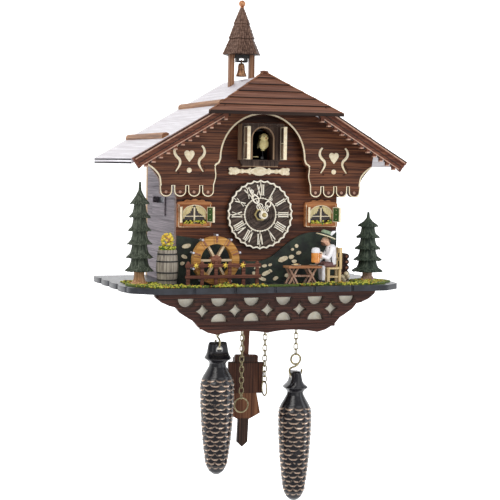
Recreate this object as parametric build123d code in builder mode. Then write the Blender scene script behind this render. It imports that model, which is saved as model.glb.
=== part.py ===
"""Chalet cuckoo clock with a battery movement, built as separate pieces. Millimetres, +Z up.

The origin is the nail hole of the hanger plate, on the plane of the room wall. The front faces -Y.
Pieces are drawn on three families of planes measured from the dial centre and the front wall:
front(y) looks out of the front (local x to the right, local y up), level(z) looks up (local x to the
right, local y to the back), and side(x) looks to the right (local x to the back, local y up).
"""

import os
from math import atan, cos, degrees, pi, radians, sin, sqrt

from build123d import *

# ---- driving dimensions -------------------------------------------------------------------------
CASE_DEPTH = 118.0  # front wall face to the room wall
HANG_HEIGHT = 100.0  # nail hole above the dial centre

HOUSE_HALF = 90.5  # half width of the house
WALL_T = 6.0
SIDE_T = 5.0
DECK_Z = -72.5  # top of the deck that the house stands on
DECK_T = 6.0
DECK_BOTTOM = DECK_Z - DECK_T

RIDGE_Z = 145.2
ROOF_SLOPE = 0.585  # fall of the roof per unit of width
EAVE_HALF = 150.0
ROOF_FRONT = -43.0
ROOF_T = 5.9  # roof board, measured straight down
HIP_APEX_Z = 151.0
HIP_HALF = 73.7
HIP_TOP_Y = -12.0
HIP_EAVE_Y = -55.0
HIP_SLOPE = 1.023
HIP_T = 3.6

DIAL_R = 36.0
DIAL_FACE = -6.3
SCALLOPS = 24
HAND_MINUTE_TURN = 30.0  # left of upright
HAND_HOUR_TURN = -27.5  # right of upright

OPENING_HALF = 11.3  # cuckoo doorway
OPENING_BOTTOM = 57.5
OPENING_SPRING = 79.7
SURROUND_FRONT = -12.0
DOOR_HINGE_X = 20.4
DOOR_HINGE_Y = -13.9
DOOR_W = 18.2
DOOR_T = 3.5
LEFT_DOOR_OPEN = 98.0
RIGHT_DOOR_OPEN = 80.0

APRON_FRONT = -35.0
APRON_T = 5.0

WHEEL_X = -53.5
WHEEL_Z = -46.8
WHEEL_Y = -15.6  # back face of the rim
WHEEL_DEPTH = 9.0
WHEEL_R = 25.0
PADDLES = 10

WEIGHT_X = 44.3
WEIGHT_Y = -3.6
PULL_X = 13.1
PULL_Y = 8.0
LINK_L = 8.15
LINK_W = 5.6
LINK_D = 1.2
LINK_PITCH = 5.65
RING_R = 5.4  # eye of the weight hook, to the middle of the wire
HOOK_R = 7.0
HOOK_D = 2.2
PULL_RING_R = 7.7
LEFT_LINKS = 6
RIGHT_LINKS = 12
LEFT_PULL_LINKS = 20
RIGHT_PULL_LINKS = 17
WEIGHT_EYE_Z = -81.3
PULL_EYE_Z = -83.3

PENDULUM_Y = 24.5
PENDULUM_PIVOT_Z = -62.0
PENDULUM_LEAN = 2.2  # degrees, bob to the left

TOWER_Y = 60.0
TOWER_EAVE = 172.0

RUN = 0.05  # radial clearance of a turning shaft

PIECES = {}


def front(y):
    return Plane(origin=(0, y - CASE_DEPTH, -HANG_HEIGHT), x_dir=(1, 0, 0), z_dir=(0, -1, 0))


def level(z):
    return Plane(origin=(0, -CASE_DEPTH, z - HANG_HEIGHT), x_dir=(1, 0, 0), z_dir=(0, 0, 1))


def side(x):
    return Plane(origin=(x, -CASE_DEPTH, -HANG_HEIGHT), x_dir=(0, 1, 0), z_dir=(1, 0, 0))


def keep(build, label):
    build.part.label = label
    PIECES[label] = build.part


def keep_group(parts, label):
    group = Compound(children=parts)
    group.label = label
    PIECES[label] = group


def roof_top(x):
    return RIDGE_Z - ROOF_SLOPE * abs(x)


def roof_under(x):
    return roof_top(x) - ROOF_T


def hip_under(y):
    return HIP_APEX_Z - HIP_T + (y - HIP_TOP_Y) * HIP_SLOPE


def mirrored(points):
    """Points of a right half outline, top to bottom, followed by their left images."""
    return points + [(-x, y) for x, y in reversed(points)]


# ---- house: walls, deck, back -------------------------------------------------------------------
wall_top = [(0, roof_under(0)), (HOUSE_HALF, roof_under(HOUSE_HALF)), (HOUSE_HALF, DECK_Z)]

with BuildPart() as front_wall:
    with BuildSketch(front(WALL_T)) as wall_outline:
        Polygon(*mirrored(wall_top), align=None)
    extrude(amount=WALL_T)
    with BuildSketch(front(WALL_T)) as wall_holes:
        Circle(4.9)  # neck of the movement
        with Locations((WHEEL_X, WHEEL_Z)):
            Circle(2.2)
        with Locations((0, (OPENING_BOTTOM + OPENING_SPRING) / 2)):
            Rectangle(2 * OPENING_HALF, OPENING_SPRING - OPENING_BOTTOM)
        with Locations((0, OPENING_SPRING)):
            Circle(OPENING_HALF)
    extrude(amount=WALL_T, mode=Mode.SUBTRACT)
keep(front_wall, "front_wall")

SOUND_SLOT_Y = 62.0
SOUND_SLOT_Z = 13.4
SOUND_SLOT_W = 46.0
SOUND_SLOT_H = 7.6
inner = HOUSE_HALF - SIDE_T
with BuildPart() as side_walls:
    with BuildSketch(front(CASE_DEPTH - WALL_T)) as side_section:
        Polygon(
            (inner, DECK_Z), (HOUSE_HALF, DECK_Z), (HOUSE_HALF, roof_under(HOUSE_HALF)),
            (inner, roof_under(inner)), align=None,
        )
        mirror(about=Plane.YZ)
    extrude(amount=CASE_DEPTH - 2 * WALL_T)
    with BuildSketch(side(-HOUSE_HALF)) as sound_slot:
        with Locations((SOUND_SLOT_Y, SOUND_SLOT_Z)):
            Rectangle(SOUND_SLOT_W, SOUND_SLOT_H)
    extrude(amount=2 * HOUSE_HALF, mode=Mode.SUBTRACT)
keep(side_walls, "side_walls")

with BuildPart() as sound_frames:
    with BuildSketch(side(HOUSE_HALF)) as frame_outline:
        with Locations((SOUND_SLOT_Y, SOUND_SLOT_Z - 1.4)):
            Rectangle(48, 30)
        with Locations((SOUND_SLOT_Y, SOUND_SLOT_Z)):
            Rectangle(44, 6.6, mode=Mode.SUBTRACT)
    extrude(amount=1.6)
    mirror(about=Plane.YZ)
keep(sound_frames, "sound_frames")

BACK_DOOR_HALF_W = 60.0
BACK_DOOR_HALF_H = 58.0
BACK_DOOR_GAP = 0.5
HANGER_W = 44.0
HANGER_H = 26.0
HANGER_T = 1.5
NAIL_HOLE_R = 4.0
with BuildPart() as back_board:
    with BuildSketch(front(CASE_DEPTH)) as back_outline:
        Polygon(*mirrored(wall_top), align=None)
        Rectangle(2 * BACK_DOOR_HALF_W, 2 * BACK_DOOR_HALF_H, mode=Mode.SUBTRACT)
    extrude(amount=WALL_T)
    with BuildSketch(front(CASE_DEPTH)) as hanger_recess:
        with Locations((0, HANG_HEIGHT)):
            Rectangle(HANGER_W, HANGER_H)
    extrude(amount=HANGER_T, mode=Mode.SUBTRACT)
    with BuildSketch(front(CASE_DEPTH)) as screw_holes:
        with Locations((-17, HANG_HEIGHT), (17, HANG_HEIGHT)):
            Circle(1.6)
    extrude(amount=WALL_T, mode=Mode.SUBTRACT)
    with BuildSketch(front(CASE_DEPTH)) as nail_recess:
        with Locations((0, HANG_HEIGHT + 1)):
            Rectangle(14, 18)
    extrude(amount=WALL_T, mode=Mode.SUBTRACT)
keep(back_board, "back_board")

with BuildPart() as hanger_plate:
    with BuildSketch(front(CASE_DEPTH)) as plate_outline:
        with Locations((0, HANG_HEIGHT)):
            RectangleRounded(HANGER_W - 0.4, HANGER_H - 0.4, 2)
            Circle(NAIL_HOLE_R, mode=Mode.SUBTRACT)
        with Locations((0, HANG_HEIGHT + 4)):
            Rectangle(3.6, 8, mode=Mode.SUBTRACT)
        with Locations((-17, HANG_HEIGHT), (17, HANG_HEIGHT)):
            Circle(1.7, mode=Mode.SUBTRACT)
    extrude(amount=HANGER_T)

with BuildPart() as hanger_screws:
    with BuildSketch(front(CASE_DEPTH)) as screw_heads:
        with Locations((-17, HANG_HEIGHT), (17, HANG_HEIGHT)):
            Circle(1.6)
    extrude(amount=HANGER_T + 3)
keep_group([hanger_plate.part, hanger_screws.part], "hanger_plate")

SWITCH_X = -30.0
SWITCH_Z = -38.0
with BuildPart() as back_door:
    with BuildSketch(front(CASE_DEPTH)) as door_outline:
        Rectangle(2 * (BACK_DOOR_HALF_W - BACK_DOOR_GAP), 2 * (BACK_DOOR_HALF_H - BACK_DOOR_GAP))
        with Locations((BACK_DOOR_HALF_W - 14, 0)):
            Circle(5, mode=Mode.SUBTRACT)  # finger hole
        with GridLocations(9, 7, 6, 3):
            Circle(1.5, mode=Mode.SUBTRACT)  # sound holes
    extrude(amount=4)
keep(back_door, "back_door")

# The deck: a board with a gently bowed front, rounded corners and small notches round its edge.
DECK_HALF = 149.8
DECK_FRONT = -56.0
NOTCH_STEP = 43.4
SIDE_NOTCH_STEP = 36.0
with BuildPart() as deck:
    with BuildSketch(level(DECK_BOTTOM)) as deck_outline:
        with BuildLine() as deck_edge:
            rim = Polyline(
                (-128, DECK_FRONT + 4), (-DECK_HALF, -34), (-DECK_HALF, CASE_DEPTH),
                (DECK_HALF, CASE_DEPTH), (DECK_HALF, -34), (128, DECK_FRONT + 4),
            )
            ThreePointArc((128, DECK_FRONT + 4), (0, DECK_FRONT), (-128, DECK_FRONT + 4))
        make_face()
        corners = deck_outline.vertices().group_by(Axis.Y)[0] + deck_outline.vertices().group_by(Axis.Y)[1]
        fillet(corners, 14)
        front_notches = [(NOTCH_STEP * i, DECK_FRONT + 0.00025 * (NOTCH_STEP * i) ** 2) for i in range(-2, 3)]
        side_notches = [(s * DECK_HALF, -26 + SIDE_NOTCH_STEP * i) for i in range(4) for s in (-1, 1)]
        with Locations(front_notches + side_notches):
            Circle(1.6, mode=Mode.SUBTRACT)
        side_bulges = [(s * (DECK_HALF - 0.6), -8 + SIDE_NOTCH_STEP * i) for i in range(4) for s in (-1, 1)]
        with Locations(side_bulges):
            Ellipse(2.8, SIDE_NOTCH_STEP / 2 - 1.7)
        bulge_x = [NOTCH_STEP * (i + 0.5) for i in range(-3, 3)]
        with Locations([(x, DECK_FRONT + 0.6 + 0.00025 * x**2) for x in bulge_x]):
            Ellipse(NOTCH_STEP / 2 - 1.7, 1.8)
    extrude(amount=DECK_T)
    with BuildSketch(level(DECK_BOTTOM)) as pendulum_slot:
        with Locations((0, PENDULUM_Y)):
            Rectangle(24, 12)
    extrude(amount=DECK_T, mode=Mode.SUBTRACT)
    with BuildSketch(level(DECK_Z - 4)) as wheel_pocket:
        with Locations((WHEEL_X, WHEEL_Y - WHEEL_DEPTH / 2)):
            Rectangle(36, WHEEL_DEPTH + 4)
    extrude(amount=4, mode=Mode.SUBTRACT)
keep(deck, "deck")

MOSS_T = 1.6
with BuildPart() as moss:
    with BuildSketch(level(DECK_Z)) as moss_beds:
        with Locations((-124, -12), (126.5, -10)):
            Circle(22.5)
        with Locations((-97, -43), (0, -45)):
            SlotOverall(60, 8)
        with Locations((84, -38)):
            SlotOverall(96, 14)
    extrude(amount=MOSS_T)
keep(moss, "moss")

# ---- roof ---------------------------------------------------------------------------------------
with BuildPart() as right_roof:
    with BuildSketch(front(CASE_DEPTH)) as roof_section:
        Polygon(
            (0, RIDGE_Z), (EAVE_HALF, roof_top(EAVE_HALF)), (EAVE_HALF, roof_under(EAVE_HALF)),
            (0, roof_under(0)), align=None,
        )
    extrude(amount=CASE_DEPTH - ROOF_FRONT)
    with BuildSketch(side(0)) as hip_cut:
        Polygon(
            (HIP_EAVE_Y, hip_under(HIP_EAVE_Y)), (HIP_EAVE_Y, RIDGE_Z + 5),
            (0, RIDGE_Z + 5), (0, hip_under(0)), align=None,
        )
    extrude(amount=EAVE_HALF, mode=Mode.SUBTRACT)
keep(right_roof, "right_roof")

with BuildPart() as left_roof:
    mirror(right_roof.part, about=Plane.YZ)
keep(left_roof, "left_roof")

with BuildPart() as hip_roof:
    with BuildSketch(side(-HIP_HALF)) as hip_section:
        Polygon(
            (HIP_TOP_Y, HIP_APEX_Z), (HIP_EAVE_Y, hip_under(HIP_EAVE_Y) + HIP_T),
            (HIP_EAVE_Y, hip_under(HIP_EAVE_Y)), (HIP_TOP_Y, hip_under(HIP_TOP_Y)), align=None,
        )
    extrude(amount=2 * HIP_HALF)
    with BuildSketch(level(0)) as hip_plan:
        Polygon((0, HIP_TOP_Y), (HIP_HALF, HIP_EAVE_Y), (-HIP_HALF, HIP_EAVE_Y), align=None)
    extrude(amount=HIP_APEX_Z, mode=Mode.INTERSECT)
keep(hip_roof, "hip_roof")

# Barge boards under the front edge of the roof, with a moulding and a row of dentils.
BARGE_T = 4.0
BARGE_H = 13.0
BARGE_INNER_X = 50.0
DENTILS = 12
DENTIL_STEP = 7.52
with BuildPart() as barge_boards:
    with BuildSketch(front(ROOF_FRONT)) as barge_face:
        Polygon(
            (BARGE_INNER_X, roof_top(BARGE_INNER_X)), (EAVE_HALF, roof_top(EAVE_HALF)), (143, 47),
            (139.5, 50.2), (139.5, roof_top(139.5) - BARGE_H),
            (BARGE_INNER_X, roof_top(BARGE_INNER_X) - BARGE_H), align=None,
        )
    extrude(amount=BARGE_T)
    with BuildSketch(front(ROOF_FRONT - BARGE_T)) as cap_moulding:
        Polygon(
            (BARGE_INNER_X, roof_top(BARGE_INNER_X)), (EAVE_HALF, roof_top(EAVE_HALF)),
            (EAVE_HALF - 2, roof_top(EAVE_HALF) - 3.4), (BARGE_INNER_X, roof_top(BARGE_INNER_X) - 4.6),
            align=None,
        )
    extrude(amount=2)
    with BuildSketch(front(ROOF_FRONT)) as dentil_row:
        dentil_x = [135.5 - DENTIL_STEP * i for i in range(DENTILS)]
        with Locations([(x, roof_top(x) - BARGE_H - 1) for x in dentil_x]):
            Rectangle(3.4, 6)
    extrude(amount=BARGE_T)
    with BuildSketch(side(0)) as under_hip:
        Polygon(
            (HIP_EAVE_Y, hip_under(HIP_EAVE_Y)), (HIP_EAVE_Y, RIDGE_Z), (0, RIDGE_Z), (0, hip_under(0)),
            align=None,
        )
    extrude(amount=EAVE_HALF, mode=Mode.SUBTRACT)
    mirror(about=Plane.YZ)
keep(barge_boards, "barge_boards")

LOG_X = (52.0, 112.0)
LOG_R = 4.2
with BuildPart() as roof_logs:
    with BuildSketch(front(112)) as log_ends:
        with Locations([(s * x, roof_top(x)) for x in LOG_X for s in (-1, 1)]):
            Circle(LOG_R)
        Polygon((0, RIDGE_Z), (EAVE_HALF, roof_top(EAVE_HALF)), (EAVE_HALF, 0), (-EAVE_HALF, 0),
                (-EAVE_HALF, roof_top(EAVE_HALF)), align=None, mode=Mode.SUBTRACT)
    extrude(amount=146)
keep(roof_logs, "roof_logs")

# ---- gable board --------------------------------------------------------------------------------
GABLE_FRONT = -13.0
GABLE_T = 5.0
ARCH_Z = 58.8
ARCH_R = 46.2
LOBE_TOP = 30.6
LOBE_BOTTOM = 18.7
LOBE_X = (60.2, 75.2, 90.2, 105.2)
LOBE_W = 13.0
HEART_X = 80.7
HEART_Z = 61.0


def s_curl(x, flip):
    """One stroke of the pierced S-shaped curls beside the heart, as a bent tapered slot."""
    with BuildLine() as curl_line:
        Spline(
            (x - flip * 1.5, 71), (x + flip * 2.2, 64), (x - flip * 2.4, 56.5),
            (x + flip * 2.4, 49), (x - flip * 2, 42.8),
        )
    return curl_line.line


with BuildPart() as gable_board:
    with BuildSketch(front(GABLE_FRONT + GABLE_T)) as gable_outline:
        with BuildLine() as gable_edge:
            Polyline((0, ARCH_Z + ARCH_R), (0, roof_under(0)), (127, roof_under(127)), (125.1, 50.7))
            Spline((125.1, 50.7), (116.5, 42), (111.7, LOBE_TOP), tangents=((-1, -0.7), (0, -1)))
            Polyline((111.7, LOBE_TOP), (53.7, LOBE_TOP))
            Spline((53.7, LOBE_TOP), (51.2, 41), (52, 50.3), tangents=((-0.3, 1), (0.4, 1)))
            Spline((52, 50.3), (47, 53.6), (ARCH_R, ARCH_Z), tangents=((-1, 0.2), (0, 1)))
            ThreePointArc(
                (ARCH_R, ARCH_Z), (ARCH_R * cos(pi / 4), ARCH_Z + ARCH_R * sin(pi / 4)), (0, ARCH_Z + ARCH_R),
            )
        make_face()
        with Locations([(x, (LOBE_TOP + LOBE_BOTTOM) / 2 + 3) for x in LOBE_X]):
            RectangleRounded(LOBE_W, LOBE_TOP - LOBE_BOTTOM + 6, 5.5)
        mirror(about=Plane.YZ)
    extrude(amount=GABLE_T)
    with BuildSketch(front(GABLE_FRONT)) as carving:
        for sign in (-1, 1):
            with Locations([(sign * (HEART_X + d), HEART_Z + 2.2) for d in (-2.4, 2.4)]):
                Circle(2.9)
            with BuildLine() as heart_point:
                Polyline(
                    (sign * (HEART_X - 5), HEART_Z + 1), (sign * HEART_X, HEART_Z - 6),
                    (sign * (HEART_X + 5), HEART_Z + 1), close=True,
                )
            make_face()
            with Locations((sign * HEART_X, 45.9)):
                Circle(2.7)
            with Locations([(sign * x, 23.8) for x in LOBE_X]):
                Circle(1.5)
    extrude(amount=-1, mode=Mode.SUBTRACT)
    for curl_x, curl_flip in ((67.5, -1), (93.5, 1), (-67.5, 1), (-93.5, -1)):
        with BuildSketch(front(GABLE_FRONT)) as curl:
            trace(s_curl(curl_x, curl_flip), 2.2)
        extrude(amount=-1, mode=Mode.SUBTRACT)
keep(gable_board, "gable_board")

# ---- cuckoo doorway -----------------------------------------------------------------------------
SURROUND_HALF = 23.5
SURROUND_TOP = 95.5
with BuildPart() as cuckoo_surround:
    with BuildSketch(front(0)) as surround_face:
        with Locations((0, (SURROUND_TOP + OPENING_BOTTOM - 0.5) / 2)):
            Rectangle(2 * SURROUND_HALF, SURROUND_TOP - OPENING_BOTTOM + 0.5)
        with Locations((0, (OPENING_BOTTOM + OPENING_SPRING) / 2)):
            Rectangle(2 * OPENING_HALF, OPENING_SPRING - OPENING_BOTTOM, mode=Mode.SUBTRACT)
        with Locations((0, OPENING_SPRING)):
            Circle(OPENING_HALF, mode=Mode.SUBTRACT)
    extrude(amount=-SURROUND_FRONT)
keep(cuckoo_surround, "cuckoo_surround")

with BuildPart() as doorway_trim:
    with BuildSketch(front(0)) as sill_face:
        Polygon((-22, 57), (22, 57), (19.5, 50.4), (-19.5, 50.4), align=None)
    extrude(amount=4)
    with BuildSketch(front(0)) as band_face:
        with Locations((0, 45.6)):
            Ellipse(5.2, 4.5)
            Rectangle(54, 3)
        with Locations((-8.6, 45.6), (8.6, 45.6), (-20.6, 45.6), (20.6, 45.6)):
            Rectangle(5.6, 5.6, rotation=45)
        with Locations((-28.4, 45.6), (28.4, 45.6)):
            Ellipse(5.8, 4.6)
    extrude(amount=4)
keep(doorway_trim, "doorway_trim")


def cuckoo_door(sign, opening):
    """A little door, hinged at its outer edge and standing open by the given angle."""
    hinge = level(57.8).origin + Vector(sign * DOOR_HINGE_X, DOOR_HINGE_Y, 0)
    swing = radians(opening)
    along = Vector(-sign * cos(swing), -sin(swing), 0)
    with BuildPart() as door:
        with BuildSketch(Plane(origin=hinge, x_dir=along, z_dir=(0, 0, 1))) as door_plan:
            with Locations((1.8 + DOOR_W / 2, 0)):
                Rectangle(DOOR_W, DOOR_T)
            Circle(1.2)
            with Locations((1, 0)):
                Rectangle(2, 1.6)
        extrude(amount=34.6)
    return door


keep(cuckoo_door(-1, LEFT_DOOR_OPEN), "left_cuckoo_door")
keep(cuckoo_door(1, RIGHT_DOOR_OPEN), "right_cuckoo_door")

BIRD_X = 3.2
BIRD_Y = -3.0
BIRD_Z = 77.0
BIRD_ARM_Z = 58.6
BIRD_ARM_W = 3.0
BIRD_ARM_H = 2.4
BIRD_ARM_BACK = 52.0
with BuildPart() as bird:
    with BuildSketch(front(BIRD_Y)) as bird_profile:
        with BuildLine() as bird_line:
            Spline(
                (BIRD_X - 5, BIRD_Z - 6), (BIRD_X - 6.5, BIRD_Z), (BIRD_X - 4, BIRD_Z + 5),
                (BIRD_X + 1, BIRD_Z + 9), (BIRD_X + 6.6, BIRD_Z + 6), (BIRD_X + 6.8, BIRD_Z - 1),
                (BIRD_X + 4.5, BIRD_Z - 7), (BIRD_X, BIRD_Z - 9), periodic=True,
            )
        make_face()
    extrude(amount=3.6, both=True)
    fillet(bird.edges().filter_by(GeomType.BSPLINE), 2.6)
    with BuildSketch(level(BIRD_ARM_Z)) as bird_wire:
        with Locations((BIRD_X, BIRD_Y)):
            Circle(0.7)
    extrude(amount=BIRD_Z - BIRD_ARM_Z)
    with BuildSketch(front(BIRD_ARM_BACK)) as bird_arm:
        with Locations((BIRD_X, BIRD_ARM_Z + BIRD_ARM_H / 2)):
            Rectangle(BIRD_ARM_W, BIRD_ARM_H)
    extrude(amount=BIRD_ARM_BACK - BIRD_Y)
keep(bird, "cuckoo_bird")

# ---- dial and hands -----------------------------------------------------------------------------
RING_T = 2.0
INNER_RING_R = 18.0
NUMERAL_MID = 26.0
NUMERAL_H = 11.5
STROKE = 1.1
SERIF_OUT = 31.4
SERIF_IN = 20.6
with BuildPart() as dial_disc:
    with BuildSketch(front(0)) as dial_face:
        Circle(DIAL_R)
        Circle(4.9, mode=Mode.SUBTRACT)
    extrude(amount=-DIAL_FACE)
    with BuildSketch(front(DIAL_FACE)) as turned_grooves:
        for groove_r in (7.5, 10.5, 13.5):
            Circle(groove_r + 0.5)
            Circle(groove_r, mode=Mode.SUBTRACT)
    extrude(amount=-0.8, mode=Mode.SUBTRACT)
keep(dial_disc, "dial_disc")

NUMERALS = ["XII", "I", "II", "III", "IIII", "V", "VI", "VII", "VIII", "IX", "X", "XI"]
LETTER_W = {"I": 2.0, "V": 4.2, "X": 4.4}


def numeral_strokes(text):
    """Middle, lean and length of each stroke of a Roman numeral, laid out from left to right."""
    width = sum(LETTER_W[c] for c in text)
    at = -width / 2
    strokes = []
    for c in text:
        w = LETTER_W[c]
        middle = at + w / 2
        slope = degrees(atan((w - 1.4) / NUMERAL_H))
        if c == "I":
            strokes.append((middle, 0))
        elif c == "V":
            strokes.append((middle - (w - 1.4) / 4, slope / 2))
            strokes.append((middle + (w - 1.4) / 4, -slope / 2))
        else:
            strokes.append((middle, slope))
            strokes.append((middle, -slope))
        at += w
    return strokes


with BuildPart() as numeral_ring:
    with BuildSketch(front(DIAL_FACE)) as rings:
        Circle(36.6)
        with PolarLocations(36.4, SCALLOPS, start_angle=7.5):
            Circle(1.1)
        Circle(34.2, mode=Mode.SUBTRACT)
        Circle(INNER_RING_R)
        with PolarLocations(INNER_RING_R, SCALLOPS, start_angle=7.5):
            Circle(0.8)
        Circle(INNER_RING_R - 1.8, mode=Mode.SUBTRACT)
        for hour, text in enumerate(NUMERALS):
            turn = -30 * hour
            for offset, lean in numeral_strokes(text):
                bearing = radians(turn)
                x = offset * cos(bearing) - NUMERAL_MID * sin(bearing)
                y = offset * sin(bearing) + NUMERAL_MID * cos(bearing)
                with Locations(Location((x, y, 0), (0, 0, turn + lean))):
                    Rectangle(STROKE, NUMERAL_H)
            serif_w = max(sum(LETTER_W[c] for c in text) - 0.6, 2.4)
            for reach, w, h in ((NUMERAL_MID, 0.8, 17.8), (SERIF_OUT, serif_w, 1), (SERIF_IN, serif_w, 1)):
                spot = (-reach * sin(radians(turn)), reach * cos(radians(turn)), 0)
                with Locations(Location(spot, (0, 0, turn))):
                    Rectangle(w, h)
    extrude(amount=RING_T)
keep(numeral_ring, "numeral_ring")

HOUR_HAND_Y = -14.0
MINUTE_HAND_Y = -18.5
HAND_T = 1.2
MINUTE_SHAFT_R = 1.5
HOUR_TUBE_R = 2.6


def hand_outline(length, width):
    """A carved leaf hand pointing up: hub, thin neck, pierced leaf and a pointed tip."""
    Circle(3.4)
    with Locations((0, length * 0.3)):
        Rectangle(1.5, length * 0.6)
    with Locations((0, length * 0.42)):
        Ellipse(width * 0.7, length * 0.12)
    with Locations((0, length * 0.66)):
        Ellipse(width, length * 0.15)
    Polygon((-width * 0.8, length * 0.72), (0, length), (width * 0.8, length * 0.72), align=None)
    with Locations((0, length * 0.66)):
        Ellipse(width * 0.35, length * 0.08, mode=Mode.SUBTRACT)


def turned_front(y, turn):
    """The front plane turned about the dial centre, positive to the left of upright."""
    bearing = radians(turn)
    return Plane(origin=front(y).origin, x_dir=(cos(bearing), 0, sin(bearing)), z_dir=(0, -1, 0))


with BuildPart() as minute_hand:
    with BuildSketch(turned_front(MINUTE_HAND_Y, HAND_MINUTE_TURN)) as minute_face:
        hand_outline(34, 3.1)
        Circle(MINUTE_SHAFT_R, mode=Mode.SUBTRACT)
    extrude(amount=HAND_T)
keep(minute_hand, "minute_hand")

with BuildPart() as minute_arbor:
    with BuildSketch(front(14)) as arbor_section:
        Circle(MINUTE_SHAFT_R)
    extrude(amount=14 - MINUTE_HAND_Y + HAND_T)
    with BuildSketch(front(MINUTE_HAND_Y - HAND_T)) as hand_nut_face:
        Circle(2.4)
    extrude(amount=2)
    chamfer(minute_arbor.edges().group_by(Axis.Y)[0], 0.5)
keep(minute_arbor, "minute_arbor")

with BuildPart() as hour_hand:
    with BuildSketch(turned_front(HOUR_HAND_Y, HAND_HOUR_TURN)) as hour_face:
        hand_outline(22, 3.1)
    extrude(amount=HAND_T)
    with BuildSketch(front(12)) as tube_section:
        Circle(HOUR_TUBE_R)
    extrude(amount=12 - HOUR_HAND_Y + HAND_T + 0.6)
    with BuildSketch(front(12)) as tube_bore:
        Circle(MINUTE_SHAFT_R + RUN)
    extrude(amount=12 - HOUR_HAND_Y + HAND_T + 0.6, mode=Mode.SUBTRACT)
keep(hour_hand, "hour_hand")

# ---- works inside the house ---------------------------------------------------------------------
MOVEMENT_HALF = 28.0
MOVEMENT_BACK = 24.0
KNOB_R = 6.0
with BuildPart() as movement:
    with BuildSketch(front(MOVEMENT_BACK)) as movement_box:
        RectangleRounded(2 * MOVEMENT_HALF, 2 * MOVEMENT_HALF, 3)
    extrude(amount=MOVEMENT_BACK - WALL_T)
    with BuildSketch(front(WALL_T)) as movement_neck:
        Circle(4.8)
    extrude(amount=WALL_T - DIAL_FACE + 3)
    with BuildSketch(front(15)) as arbor_bore:
        Circle(HOUR_TUBE_R + RUN)
    extrude(amount=30, mode=Mode.SUBTRACT)
    with BuildSketch(front(MOVEMENT_BACK)) as knob_bore:
        with Locations((0, -14)):
            Circle(2 + RUN)
    extrude(amount=6, mode=Mode.SUBTRACT)
keep(movement, "quartz_movement")

with BuildPart() as movement_nut:
    with BuildSketch(front(DIAL_FACE)) as nut_face:
        RegularPolygon(7, 6)
        Circle(4.8, mode=Mode.SUBTRACT)
    extrude(amount=2)
keep(movement_nut, "movement_nut")

with BuildPart() as setting_knob:
    with BuildSketch(front(MOVEMENT_BACK - 5)) as knob_spindle:
        with Locations((0, -14)):
            Circle(2)
    extrude(amount=-5.3)
    with BuildSketch(front(MOVEMENT_BACK + 0.3)) as knob_rim:
        with Locations((0, -14)):
            Circle(KNOB_R)
            with PolarLocations(KNOB_R, 18):
                Circle(0.5, mode=Mode.SUBTRACT)
    extrude(amount=-4)
keep(setting_knob, "setting_knob")

UNIT_HALF = 22.0
UNIT_FRONT = 6.0
UNIT_BACK = 46.0
with BuildPart() as cuckoo_unit:
    with BuildSketch(front(UNIT_BACK)) as unit_box:
        with Locations((0, 70)):
            RectangleRounded(2 * UNIT_HALF, 44, 2)
        with Locations((BIRD_X, BIRD_Z - 4)):
            Rectangle(20, 30, mode=Mode.SUBTRACT)  # room for the bird
        with Locations((BIRD_X, BIRD_ARM_Z + BIRD_ARM_H / 2)):
            Rectangle(BIRD_ARM_W + 0.8, BIRD_ARM_H + 0.8, mode=Mode.SUBTRACT)
    extrude(amount=UNIT_BACK - UNIT_FRONT)
keep(cuckoo_unit, "cuckoo_unit")

with BuildPart() as wheel_motor:
    with BuildSketch(front(30)) as motor_box:
        with Locations((WHEEL_X, WHEEL_Z)):
            RectangleRounded(30, 26, 2)
    extrude(amount=24)
    with BuildSketch(front(18)) as motor_bore:
        with Locations((WHEEL_X, WHEEL_Z)):
            Circle(1.5 + RUN)
    extrude(amount=12, mode=Mode.SUBTRACT)
keep(wheel_motor, "wheel_motor")

CELL_R = 13.0
CELL_L = 50.0
CELL_Z = -56.0
with BuildPart() as batteries:
    with BuildSketch(side(30)) as cell_ends:
        with Locations((66, CELL_Z), (94, CELL_Z)):
            Circle(CELL_R)
    extrude(amount=CELL_L - 2)
    with BuildSketch(side(30 + CELL_L - 2)) as cell_caps:
        with Locations((66, CELL_Z), (94, CELL_Z)):
            Circle(3.5)
    extrude(amount=1.6)
keep(batteries, "batteries")

with BuildPart() as battery_holder:
    with BuildSketch(side(26)) as holder_outline:
        with Locations((80, -64.3)):
            Rectangle(58, 16.4)
    extrude(amount=CELL_L + 8)
    with BuildSketch(side(29.6)) as holder_hollow:
        with Locations((66, CELL_Z), (94, CELL_Z)):
            Circle(CELL_R + 0.3)
    extrude(amount=CELL_L + 0.8, mode=Mode.SUBTRACT)
keep(battery_holder, "battery_holder")

with BuildPart() as loudspeaker:
    with BuildSketch(side(-66)) as speaker_magnet:
        with Locations((SOUND_SLOT_Y, SOUND_SLOT_Z)):
            Circle(14)
    extrude(amount=-10)
    with BuildSketch(side(-66)) as speaker_back:
        with Locations((SOUND_SLOT_Y, SOUND_SLOT_Z)):
            Circle(15)
    with BuildSketch(side(-66 - 16)) as speaker_front:
        with Locations((SOUND_SLOT_Y, SOUND_SLOT_Z)):
            Circle(28)
    loft()
    with BuildSketch(side(-85.5)) as speaker_flange:
        with Locations((SOUND_SLOT_Y, SOUND_SLOT_Z)):
            Circle(32)
    extrude(amount=3.5)
    with BuildSketch(side(-66 + 10)) as speaker_pole:
        with Locations((SOUND_SLOT_Y, SOUND_SLOT_Z)):
            Circle(16)
    extrude(amount=-10)
keep(loudspeaker, "loudspeaker")

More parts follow.
